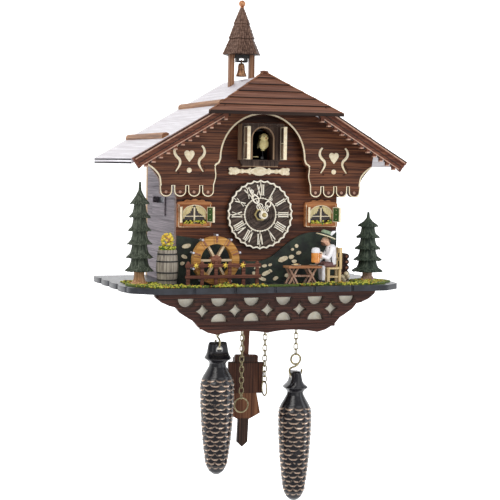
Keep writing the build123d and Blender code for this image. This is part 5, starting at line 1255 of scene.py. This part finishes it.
def spun(points, angle):
    """Points (out, across) on a spoke or paddle, turned round the wheel's hub to (x, z)."""
    c, s = math.cos(angle), math.sin(angle)
    return [(wheel_x + px * c - pz * s, wheel_z + px * s + pz * c) for px, pz in points]


def sawn(outline, angle, front, back, slot):
    """A flat piece of the wheel, between two distances in front of its back face."""
    mill.prism(spun(outline, angle), wheel_back - front, wheel_back - back, slot)


SPOKES, PADDLES = 6, 10
for k in range(SPOKES):
    sawn([(4, -1.1), (17.2, -1.1), (17.2, 1.1), (4, 1.1)], k * 2 * math.pi / SPOKES, 7.4, 1.2, 1)
for k in range(PADDLES):
    a = math.pi / 2 + k * 2 * math.pi / PADDLES
    sawn([(18.6, -0.8), (25.6, -0.8), (25.6, 0.8), (18.6, 0.8)], a, 10.0, 0.5, 2)
    sawn([(25.2, -1.0), (27.4, -1.0), (27.4, 1.0), (25.2, 1.0)], a, 9.9, 0.5, 3)
    sawn([(17.2, 2.6), (24.9, 3.1), (24.9, 3.7), (17.2, 3.2)], a, 9.15, 8.9, 2)
hub_profile = [(0.2, -10.2), (2.2, -10.2), (2.6, -9.4), (5.2, -9.0), (5.6, -8), (5.6, -0.2), (1.5, 0)]
axle_end = 13.9
hub_and_axle = [(r, wheel_back + y) for r, y in hub_profile] + [(1.5, axle_end)]
mill.lathe(wheel_x, 0, wheel_z, hub_and_axle, 28, 2, axis="y")
mill.make("water_wheel", [ochre, spoke_wood, hub_brown, silver], body="wheel", bevel=0.25,
          stands_for=["mill_wheel"])

rail_wood = wood("rail_wood", (0.030, 0.009, 0.006), (0.105, 0.032, 0.019), (0.22, 0.085, 0.05), "x", 0.45)
rails = Shape()
for z in (-51.5, -63):
    rails.box(-89.5, -7.5, -33.0, -31.1, z - 1.7, z + 1.7)
for i in range(6):
    x = -86 + 15 * i
    outline = [(x - 1.8, DECK_TOP + 0.4), (x + 1.8, DECK_TOP + 0.4), (x + 1.8, -48.6), (x, -46.8),
               (x - 1.8, -48.6)]
    rails.prism(outline, -31.0, -29.1)
FLOWER_Z = -51.2
for x in (-78.5, -63, -47, -28):
    for k in range(6):
        a = k * math.pi / 3 + 0.3
        petal = [(x + r * math.cos(a + turn), FLOWER_Z + r * math.sin(a + turn))
                 for r, turn in ((1.3, 0.5), (1.3, -0.5), (3.2, 0))]
        rails.prism(petal, -34.1, -33.0, 1)
    rails.ball((x, -33.9, FLOWER_Z), (1.5, 0.8, 1.5), 1, 6, 8)
    rails.ball((x + 0.5, -34.4, -51.5), (0.6, 0.4, 0.6), 2, 5, 6)
rails.make("rail_fence", [rail_wood, petal_yellow, leaf_green], bevel=0.3, stands_for=["fence"])

# ---- yard: table, chair and drinker ---------------------------------------------------------------
# A sawn table on crossed legs with a plate on it, a plain chair, and a carved and painted man in a
# felt hat, white shirt and brown breeches. His right arm and glass mug are one piece that lifts.
table_wood = wood("table_wood", (0.16, 0.055, 0.022), (0.40, 0.17, 0.075), (0.60, 0.33, 0.17), "x", 0.5)
leg_wood = wood("leg_wood", (0.16, 0.075, 0.045), (0.38, 0.21, 0.14), (0.58, 0.38, 0.28), "z", 0.55)
chair_wood = wood("chair_wood", (0.42, 0.26, 0.10), (0.66, 0.47, 0.22), (0.80, 0.62, 0.36), "z", 0.5)
china = paint("china", (0.80, 0.72, 0.60), (0.62, 0.50, 0.38), 0.35, 400, 0.05)
furniture = Shape()
TABLE_UNDER, FEET_Z, LEG_SPREAD = -55.7, -72.4, 4.9
for i in range(4):
    y = -30.5 + 4.25 * i
    furniture.box(24, 62, y + 0.12, y + 4.1, TABLE_UNDER, -53.5, 0)
plate = [(0.2, 0.1), (3.0, 0.1), (5.2, 0.9), (5.4, 1.2), (4.6, 1.1), (2.8, 0.5), (0.2, 0.5)]
furniture.lathe(36, -22, -53.5, plate, 24, 1)
furniture.ball((35.4, -22, -52.2), (3.0, 2.0, 1.3), 3)
furniture.ball((38.0, -21, -52.2), (2.2, 1.6, 1.0), 0)
furniture.lathe(56, -20, -53.5, [(0.2, 0.1), (2.6, 0.1), (4.2, 0.7), (3.6, 0.8), (0.2, 0.4)], 20, 1)
for y in (-16.9, -26.9):
    for x in (31, 52):
        for lean in (-1, 1):
            head, foot = x + lean * LEG_SPREAD, x - lean * LEG_SPREAD
            outline = [(head - 1.0, TABLE_UNDER), (head + 1.0, TABLE_UNDER), (foot + 1.0, FEET_Z),
                       (foot - 1.0, FEET_Z)]
            furniture.prism(outline, y - 1 + 0.15 * lean, y + 1, 2)
    furniture.box(30, 53, y - 0.6, y + 0.6, -64.8, -63.4, 2)
furniture.box(69.5, 86.5, -27, -13, -57.4, -55.4, 3)
for x, y in ((71.5, -15), (71.5, -25), (84.5, -15), (84.5, -25)):
    furniture.box(x - 1.4, x + 1.4, y - 1.4, y + 1.4, FEET_Z, -57.4, 3)
for y in (-25.6, -14.4):
    furniture.box(84.1, 86.5, y - 1.3, y + 1.3, -55.4, -34.4, 3)
furniture.box(84.5, 86.1, -26, -14, -40.2, -35.0, 3)
furniture.box(84.5, 86.1, -26, -14, -48.6, -45.4, 3)
for y in (-25, -15):
    furniture.box(72, 84, y - 0.8, y + 0.8, -66.5, -64.9, 3)
furniture.make("table_and_seat", [table_wood, china, leg_wood, chair_wood], bevel=0.25,
               stands_for=["table_and_chair"])

felt = paint("felt_sage", (0.33, 0.42, 0.28), (0.20, 0.27, 0.17), 0.8, 500, 0.3)
hat_band = paint("hat_band", (0.03, 0.05, 0.035), (0.015, 0.025, 0.02), 0.5, 500)
skin = paint("skin", (0.78, 0.50, 0.34), (0.70, 0.38, 0.25), 0.45, 500, 0.05)
linen = paint("linen_white", (0.95, 0.93, 0.94), (0.84, 0.81, 0.84), 0.55, 300, 0.15)
breeches = paint("breeches", (0.22, 0.11, 0.10), (0.13, 0.06, 0.055), 0.55, 300)
beard = paint("beard_brown", (0.16, 0.075, 0.04), (0.09, 0.04, 0.02), 0.65, 900, 0.4)
boot = paint("boot_black", (0.03, 0.025, 0.022), (0.015, 0.012, 0.012), 0.35, 300)
man = Shape()
chest = [(0.2, -54.6), (5.4, -54.2), (6.1, -51), (5.9, -45), (5.9, -38), (5.2, -33.4), (3.4, -31.4),
         (0.2, -31)]
man.lathe(76.2, -20, 0, chest, 24, 3)
man.ball((75.2, -26.0, -36.2), (3.4, 2.3, 3.3), 3)
man.ball((75.6, -14.4, -36.2), (3.4, 2.9, 3.3), 3)
man.tube([(75.6, -13.6, -36.5), (71.5, -12.8, -43.0), (64.5, -13.6, -50.6)], [2.6, 2.4, 2.0], 3)
man.ball((62.9, -13.8, -51.4), (2.2, 1.8, 1.4), 2)
man.ball((75.5, -20, -52.8), (7.2, 6.2, 3.6), 4)
for y in (-24, -16):
    man.tube([(76, y, -52.6), (70, y, -52.2), (66.2, y, -53.2)], [3.4, 3.1, 2.6], 4, 12)
    man.tube([(66.0, y, -53.5), (65.8, y, -60), (66.2, y, -64)], [2.5, 2.1, 2.2], 3, 12)
    man.tube([(66.2, y, -63.6), (66.2, y, -69.0)], [2.1, 1.8], 3, 12)
    man.ball((64.9, y, -70.6), (3.6, 2.1, 1.9), 6)
for z in (-50, -46, -42, -38):
    man.ball((70.0, -20, z), (0.5, 0.6, 0.6), 6, 5, 6)
man.prism([(71.8, -33.4), (73.0, -33.8), (75.6, -50.5), (74.2, -50.5)], -26.0, -25.4, 6)
man.tube([(74.2, -20, -33), (71.6, -20, -29.6)], [2.5, 2.3], 2, 12)
man.ball((69.8, -20, -27.4), (4.5, 4.3, 4.9), 2, 12, 16)
man.ball((65.5, -20, -27.6), (1.1, 0.9, 0.9), 2)
man.ball((67.6, -20, -30.2), (2.9, 3.3, 2.4), 5, 8, 12)
man.ball((66.2, -20, -29.2), (1.1, 2.2, 0.6), 5)
man.ball((72.4, -20, -26.4), (3.0, 4.0, 3.4), 5, 8, 12)
for y in (-21.8, -18.2):
    man.ball((65.9, y, -26.4), (0.5, 0.5, 0.5), 6, 5, 6)
man.ball((69.8, -24.2, -27.6), (1.0, 0.6, 1.3), 2, 6, 8)
hat_turn = Matrix.Rotation(math.radians(18), 3, "Y")
hat = Shape()
brim = [(0.2, 0), (7.0, 0.0), (10.0, -0.3), (10.6, 0.1), (10.2, 0.9), (7.0, 0.9), (6.9, 1.2)]
hat.lathe(0, 0, 0, brim, 32, 0)
hat.lathe(0, 0, 0, [(6.9, 1.0), (7.0, 1.2), (6.8, 2.8), (6.5, 2.9)], 32, 1)
hat.lathe(0, 0, 0, [(6.6, 2.6), (6.4, 3.8), (5.8, 5.4), (4.8, 6.4), (2.4, 6.2), (0.2, 5.6)], 32, 0)
brim_edge = [(10.4 * math.cos(a), 10.4 * math.sin(a), 0.3) for a in [math.pi * k / 20 for k in range(40)]]
hat.tube(brim_edge, 0.5, 7, closed=True)
hat.tube([(2.6, -5.8, 2.6), (4.0, -6.2, 6.0), (6.6, -5.6, 8.2)], [1.0, 1.9, 0.7], 3, 8, flat=0.6)
man.join(hat, (69.9, -20, -22.7), hat_turn)
man.make("seated_man", [felt, hat_band, skin, linen, breeches, beard, boot, cream_line], sharp=55,
         stands_for=["drinker"])

beer = paint("beer_amber", (0.80, 0.33, 0.06), (0.62, 0.20, 0.03), 0.2, 260, 0.02, coat=0.7)
foam = paint("foam", (0.90, 0.89, 0.90), (0.76, 0.76, 0.80), 0.6, 900, 0.4)
lifting_arm = Shape()
lifting_arm.tube([(74.2, -28.6, -35.4), (71.6, -29.0, -41.0), (69.2, -29.1, -45.2)], [2.3, 2.3, 2.1], 0, 14)
lifting_arm.tube([(69.6, -29.1, -45.6), (64.6, -29.1, -43.8), (61.6, -29.1, -42.8)], [2.2, 1.9, 1.7], 0, 14)
lifting_arm.ball((74.0, -28.6, -35.6), (2.9, 1.6, 3.0), 0)
lifting_arm.ball((60.8, -29.1, -42.6), (2.0, 1.9, 2.2), 1)
for z in (-44.2, -42.8, -41.4):
    lifting_arm.ball((59.8, -31.0, z), (1.3, 0.9, 0.8), 1, 6, 8)
MUG_X, MUG_Y, MUG_FOOT = 55, -29.1, -49.5
glass = [(0.2, 0), (4.4, 0.1), (4.6, 0.8), (4.3, 1.6), (4.35, 10.2), (0.2, 10.2)]
head = [(0.2, 10.2), (4.45, 10.2), (4.6, 12), (4.5, 13.6), (3.4, 15.3), (0.2, 15.9)]
lifting_arm.lathe(MUG_X, MUG_Y, MUG_FOOT, glass, 24, 2)
lifting_arm.lathe(MUG_X, MUG_Y, MUG_FOOT, head, 24, 3)
for k in range(8):
    a = math.pi * k / 4
    x, y = MUG_X + 4.4 * math.cos(a), MUG_Y + 4.4 * math.sin(a)
    lifting_arm.tube([(x, y, -48.6), (x, y, -39.6)], 0.35, 2, 6)
handle = [(59.2, -38.8), (62.0, -39.2), (62.9, -42.5), (62.0, -46.0), (59.2, -46.6)]
lifting_arm.tube([(x, MUG_Y, z) for x, z in handle], 0.9, 4, 8)
lifting_arm.make("drinking_arm", [linen, skin, beer, foam, china], body="arm", sharp=50,
                 stands_for=["drinker_arm"])

bark = wood("bark_dark", (0.010, 0.005, 0.004), (0.035, 0.018, 0.014), (0.09, 0.05, 0.04), "y", 0.7, 0.3)
stack = Shape()
for i in range(2):
    for j in range(5):
        x, z = 94.5 + 6.4 * i, DECK_TOP + 3.3 + 6 * j
        stack.lathe(x, 0, z, [(0.2, -6), (2.6, -6.0), (3.1, -5.7), (3.2, -5.0), (3.2, 15.6), (0.2, 15.9)],
                    14, 0, axis="y")
        stack.lathe(x, 0, z, [(0.1, -6.15), (1.2, -6.15), (1.3, -6.0)], 12, 1, axis="y")
stack.box(96.7, 98.5, -5, 14, DECK_TOP, DECK_TOP + 29, 0)
stack.make("cut_logs", [bark, hub_brown], stands_for=["log_pile"])

# ---- apron ----------------------------------------------------------------------------------------
# A fretted board hangs under the deck: rows of half moons and curved diamonds cut through dark
# stained wood, closed behind with a pale card, with a plain rail along its top and bottom.
apron_wood = wood("apron_wood", (0.010, 0.004, 0.003), (0.036, 0.011, 0.007), (0.10, 0.034, 0.020), "x",
                  0.34, coat=0.15)
pale_card = paint("pale_card", (0.95, 0.90, 0.76), (0.90, 0.82, 0.64), 0.7, 300, 0.1)
dress("apron", apron_wood, 0.3)
dress("apron_backing", pale_card)
apron_rims = Shape()
rim_dark = wood("apron_rim", (0.010, 0.005, 0.004), (0.030, 0.012, 0.008), (0.08, 0.035, 0.022), "x", 0.35)
OPENING_PITCH, MIDDLE_ROW = 35.6, -98.2
for i in range(-2, 3):
    cx, cz = OPENING_PITCH * i, MIDDLE_ROW
    tips = [(cx + 7.6, cz), (cx, cz + 9.2), (cx - 7.6, cz), (cx, cz - 9.2)]
    for k in range(4):
        (x1, z1), (x2, z2) = tips[k], tips[(k + 1) % 4]
        middle = (cx + (x1 + x2 - 2 * cx) * 0.36, cz + (z1 + z2 - 2 * cz) * 0.36)
        ribbon(apron_rims, bend([(x1, z1), middle, (x2, z2)], 5), 2.2, -35.4, 0.5, inset=-1.1)
for row, sign, places in ((-85.0, -1, (-2.5, -1.5, -0.5, 0.5, 1.5, 2.5)),
                          (-109.5, 1, (-1.5, -0.5, 0.5, 1.5))):
    for i in places:
        moon = [(OPENING_PITCH * i + 9.0 * math.cos(a), row + sign * 8.6 * math.sin(a))
                for a in [math.pi * k / 14 for k in range(15)]]
        ribbon(apron_rims, moon, 2.4, -35.4, 0.5, inset=sign * -1.2)
apron_rims.box(-121, 121, -35.6, -34.9, -79.9, -78.6)
apron_rims.box(-72, 72, -37.2, -36.9, -113.9, -113.4)
apron_rims.make("apron_rims", [rim_dark])

# ---- chains, hooks and weights --------------------------------------------------------------------
# Welded oval links of aged brass hang from screw eyes under the deck. Each weight is a hollow fir
# cone moulded in black gloss plastic, its scale edges brushed with copper, hung on a bent wire hook.
old_brass = paint("chain_brass", (0.42, 0.36, 0.22), (0.20, 0.165, 0.085), 0.3, 900, 0.1, metal=1.0)
for node in ("left_weight_chain", "right_weight_chain", "left_pull_chain", "right_pull_chain", "chain_eyes"):
    dress(node, old_brass)

steel_wire = paint("steel_wire", (0.55, 0.55, 0.55), (0.4, 0.4, 0.4), 0.3, 400, 0.05, metal=1.0)


def copper_brushed_gloss():
    """Black gloss plastic that turns to worn copper where the points of the mesh carry gilt."""
    material = bpy.data.materials.new("cone_gloss")
    material.use_nodes = True
    n, k = material.node_tree.nodes, material.node_tree.links
    shader = n["Principled BSDF"]
    mask = n.new("ShaderNodeAttribute")
    mask.attribute_name = "gilt"
    place = n.new("ShaderNodeTexCoord")
    mottle = n.new("ShaderNodeGroup")
    mottle.node_tree = MOTTLE
    mottle.inputs["Scale"].default_value = 330
    worn = n.new("ShaderNodeMath")
    worn.operation = "MULTIPLY"
    gain = n.new("ShaderNodeMapRange")
    gain.inputs["From Min"].default_value = 0.34
    gain.inputs["From Max"].default_value = 0.50
    tint = n.new("ShaderNodeValToRGB")
    tint.color_ramp.elements[0].position = 0.35
    tint.color_ramp.elements[0].color = (0.62, 0.30, 0.17, 1)
    tint.color_ramp.elements[1].position = 0.62
    tint.color_ramp.elements[1].color = (0.95, 0.82, 0.66, 1)
    coloured = n.new("ShaderNodeMix")
    coloured.data_type = "RGBA"
    coloured.inputs["A"].default_value = (0.006, 0.005, 0.007, 1)
    bump = n.new("ShaderNodeBump")
    bump.inputs["Strength"].default_value = 0.12
    bump.inputs["Distance"].default_value = 0.0004
    k.new(place.outputs["Object"], mottle.inputs["Vector"])
    k.new(mottle.outputs["Blotch"], gain.inputs["Value"])
    k.new(mask.outputs["Fac"], worn.inputs[0])
    k.new(gain.outputs["Result"], worn.inputs[1])
    k.new(mottle.outputs["Speck"], tint.inputs["Fac"])
    k.new(tint.outputs["Color"], coloured.inputs["B"])
    k.new(worn.outputs[0], coloured.inputs["Factor"])
    k.new(coloured.outputs["Result"], shader.inputs["Base Color"])
    k.new(worn.outputs[0], shader.inputs["Metallic"])
    k.new(mottle.outputs["Speck"], bump.inputs["Height"])
    k.new(bump.outputs["Normal"], shader.inputs["Normal"])
    shader.inputs["Roughness"].default_value = 0.2
    shader.inputs["Specular IOR Level"].default_value = 0.42
    return material


cone_gloss = copper_brushed_gloss()
CONE_TOP, CONE_TIP = -22.5, -141.3
SCALES_FROM, SCALES_TO = -36.0, -136.0
CONE = [
    (8.8, CONE_TOP), (9.6, -26), (12.4, -31), (15.4, -36), (17.3, -43), (17.7, -50), (17.3, -68), (15.9, -90),
    (13.7, -112), (11.2, -130), (8.4, -137), (4.4, -140.4), (0.3, CONE_TIP),
]
SCALE_ROW = 4.9
SCALES_ROUND = 9


def cone_radius(depth):
    """The plain cone's radius at a height below the top of its cap."""
    for (r0, z0), (r1, z1) in zip(CONE, CONE[1:]):
        if z1 <= depth <= z0:
            t = (z0 - depth) / (z0 - z1)
            return r0 + (r1 - r0) * t
    return CONE[0][0] if depth > CONE[0][1] else 0.3


def scale_relief(angle, depth):
    """How far a point stands out over the cone, and how much copper it carries."""
    if depth > SCALES_FROM or depth < SCALES_TO:
        return 0.0, 0.0
    best, gilt = -1.0, 0.0
    row = (SCALES_FROM - depth) / SCALE_ROW
    for offset in (0, 1, 2):
        i = math.floor(row) + offset
        lip = SCALES_FROM - i * SCALE_ROW
        phase = (angle / (2 * math.pi) * SCALES_ROUND + (0.5 if i % 2 else 0.0)) % 1.0
        across = abs(phase - 0.5) * 2
        tongue = lip + 2.4 * across ** 3
        up = depth - tongue
        if up < 0 or i < 1:
            continue
        height = max(0.0, 1.25 - up * 0.2) * (1 - 0.3 * across ** 2)
        if height > best:
            best = height
            gilt = min(1.0, max(0.0, 1.5 - up / 1.3)) * (1 - 0.95 * across ** 2)
    fade = min(1.0, (SCALES_FROM - depth) / 5, (depth - SCALES_TO) / 6)
    return max(best, 0) * fade, gilt * fade


def cone_weight(side, node, body, facing):
    """A weight with its flat-sided cap turned by an angle, hanging where the built one does."""
    x, y = side * 44.3, -3.6
    top = (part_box(node)[1][2] - DIAL_Z) * 1000
    weight = Shape()
    rings, around = 330, 216
    verts, gilt = [], []
    for j in range(rings + 1):
        depth = CONE_TOP + (CONE_TIP - CONE_TOP) * j / rings
        for k in range(around):
            a = 2 * math.pi * k / around
            out, copper_amount = scale_relief(a + 0.26, depth)
            r = cone_radius(depth) + out - 0.35
            verts.append((x + r * math.cos(a), y + r * math.sin(a), top + depth))
            gilt.append(copper_amount)
    faces = []
    for j in range(rings):
        for k in range(around):
            a, b = j * around + k, j * around + (k + 1) % around
            faces.append((a, a + around, b + around, b))
    weight.add(verts, faces, 0)
    c, s = math.cos(facing), math.sin(facing)
    # the cap's half width, half depth and height, from its top down
    sections = [
        (8.2, 3.4, 0.0), (9.6, 4.2, -0.7), (10.3, 5.0, -3), (11.0, 5.6, -7),
        (11.6, 6.6, -11), (12.6, 8.6, -14), (13.8, 12.0, -16.2), (13.7, 13.0, -17.4),
        (12.4, 12.4, -18.6), (9.8, 9.8, -20.2), (8.7, 8.7, -22.6),
    ]
    cap_verts = []
    steps = 48
    for wide, deep, z in sections:
        for k in range(steps):
            a = 2 * math.pi * k / steps
            groove = 1 - 0.10 * (abs(math.sin(3 * a)) < 0.25) * (z > -15)
            px = wide * math.copysign(abs(math.cos(a)) ** 0.8, math.cos(a))
            py = deep * math.copysign(abs(math.sin(a)) ** 0.8, math.sin(a)) * groove
            cap_verts.append((x + px * c - py * s, y + px * s + py * c, top + z))
    cap_faces = []
    for j in range(len(sections) - 1):
        for k in range(steps):
            a, b = j * steps + k, j * steps + (k + 1) % steps
            cap_faces.append((a, a + steps, b + steps, b))
    cap_faces.append(tuple(range(steps)))
    weight.add(cap_verts, cap_faces, 0)
    gilt += [0.0] * len(cap_verts)
    for front in (-1, 1):
        ring = []
        for k in range(20):
            a = 2 * math.pi * k / 20
            px, pz, py = 3.3 * math.cos(a), -7.6 + 3.3 * math.sin(a), front * 5.7
            ring.append((x + px * c - py * s, y + px * s + py * c, top + pz))
        before = len(weight.verts)
        weight.tube(ring, 0.55, 1, 8, closed=True)
        gilt += [0.0] * (len(weight.verts) - before)
        weight.add(ring, [tuple(range(len(ring)))], 2)
        gilt += [0.0] * len(ring)
    thing = weight.make(node + "_cone", [cone_gloss, steel_wire, pale_card], body=body, sharp=60,
                        stands_for=[node])
    layer = thing.data.attributes.new("gilt", "FLOAT", "POINT")
    layer.data.foreach_set("value", gilt)


cone_weight(-1, "left_weight", "left_cone", 0.0)
cone_weight(1, "right_weight", "right_cone", math.pi / 2)

# ---- pendulum -------------------------------------------------------------------------------------
# A flat rod of stained wood hangs from the drive behind the weights; its bob is a pile of dark wood
# blocks over a lighter carved leaf with the grain upright, and a black pointed tail.
PENDULUM_LEAN = math.radians(2.2)
rod_brown = wood("rod_brown", (0.025, 0.008, 0.005), (0.085, 0.027, 0.015), (0.17, 0.065, 0.036), "z", 0.4)
block_brown = wood("block_brown", (0.012, 0.005, 0.003), (0.046, 0.015, 0.008), (0.10, 0.038, 0.020), "z",
                   0.38)
leaf_brown = wood("leaf_brown", (0.035, 0.012, 0.006), (0.115, 0.042, 0.019), (0.24, 0.105, 0.05), "z",
                  0.45, 0.2)
tail_black = wood("tail_black", (0.008, 0.005, 0.004), (0.030, 0.014, 0.009), (0.07, 0.035, 0.022), "z", 0.35)


def hung(points):
    """Points measured from the pendulum's pin along the leaning rod, as (x, z) at the wall."""
    c, s = math.cos(PENDULUM_LEAN), math.sin(PENDULUM_LEAN)
    return [(px * c + pz * s, -62 - px * s + pz * c) for px, pz in points]


swinging = Shape()
swinging.prism(hung([(-3.4, 0), (3.4, 0), (3.4, -94), (-3.4, -94)]), 22.9, 26.1, 0)
swinging.lathe(0, 0, -62, [(1.2, 22.9), (3.4, 22.9), (3.4, 26.1), (1.2, 26.1)], 24, 0, axis="y")
swinging.prism(hung([(-20, -98.6), (20, -98.6), (20, -132.2), (-20, -132.2)]), 19.6, 23.0, 1)
swinging.prism(hung([(-20, -98.3), (20, -98.3), (20, -99.6), (-20, -99.6)]), 19.4, 23.0, 3)
upper_block = [(-13.2, -99), (-13.2, -92.2), (-12.4, -90.8), (-11, -90.3), (11, -90.3), (12.4, -90.8),
               (13.2, -92.2), (13.2, -99)]
swinging.prism(hung(upper_block[::-1]), 19.4, 23.0, 1)
swinging.prism(hung([(-10.6, -97.6), (-10.6, -92.6), (10.6, -92.6), (10.6, -97.6)][::-1]), 19.2, 19.5, 3)
leaf_outline = [(-13.8, -132), (13.8, -132), (19.1, -154), (6.4, -160.8), (-6.4, -160.8), (-19.1, -154)]
swinging.prism(hung(leaf_outline), 20.4, 23.0, 2)
swinging.prism(hung([(-6, -160), (6, -160), (6, -185.5), (0, -190.9), (-6, -185.5)]), 20.0, 23.0, 3)
swinging.prism(hung([(-13, -94), (13, -94), (13, -142), (-13, -142)]), 23.0, 27.8, 1)
swinging.make("pendulum_and_leaf", [rod_brown, block_brown, leaf_brown, tail_black], body="pendulum",
              bevel=0.5,
              stands_for=["pendulum_rod", "pendulum_bob"])

# ---- works behind the dial ------------------------------------------------------------------------
# A boxed quartz movement, the cuckoo unit that pushes the bird, the wheel's motor, a speaker behind
# the side slot, two cells in a tray and a sliding switch. The cases are moulded in black plastic.
works_black = paint("works_black", (0.025, 0.025, 0.027), (0.014, 0.014, 0.015), 0.5, 700, 0.25)
switch_red = paint("switch_red", (0.45, 0.03, 0.02), (0.30, 0.02, 0.015), 0.4, 500)
speaker_tin = paint("speaker_tin", (0.34, 0.34, 0.36), (0.20, 0.20, 0.22), 0.4, 300, 0.1, metal=0.8)
cell_jacket = paint("cell_jacket", (0.10, 0.14, 0.28), (0.06, 0.08, 0.18), 0.25, 90, 0.02, coat=0.5)
for node in ("quartz_movement", "cuckoo_unit", "wheel_motor", "battery_holder", "switch_box",
             "pendulum_drive"):
    dress(node, works_black, 0.4)
dress("setting_knob", works_black, 0.2)
dress("mode_switch", switch_red, 0.3)
dress("loudspeaker", speaker_tin)
dress("batteries", cell_jacket, 0.3)
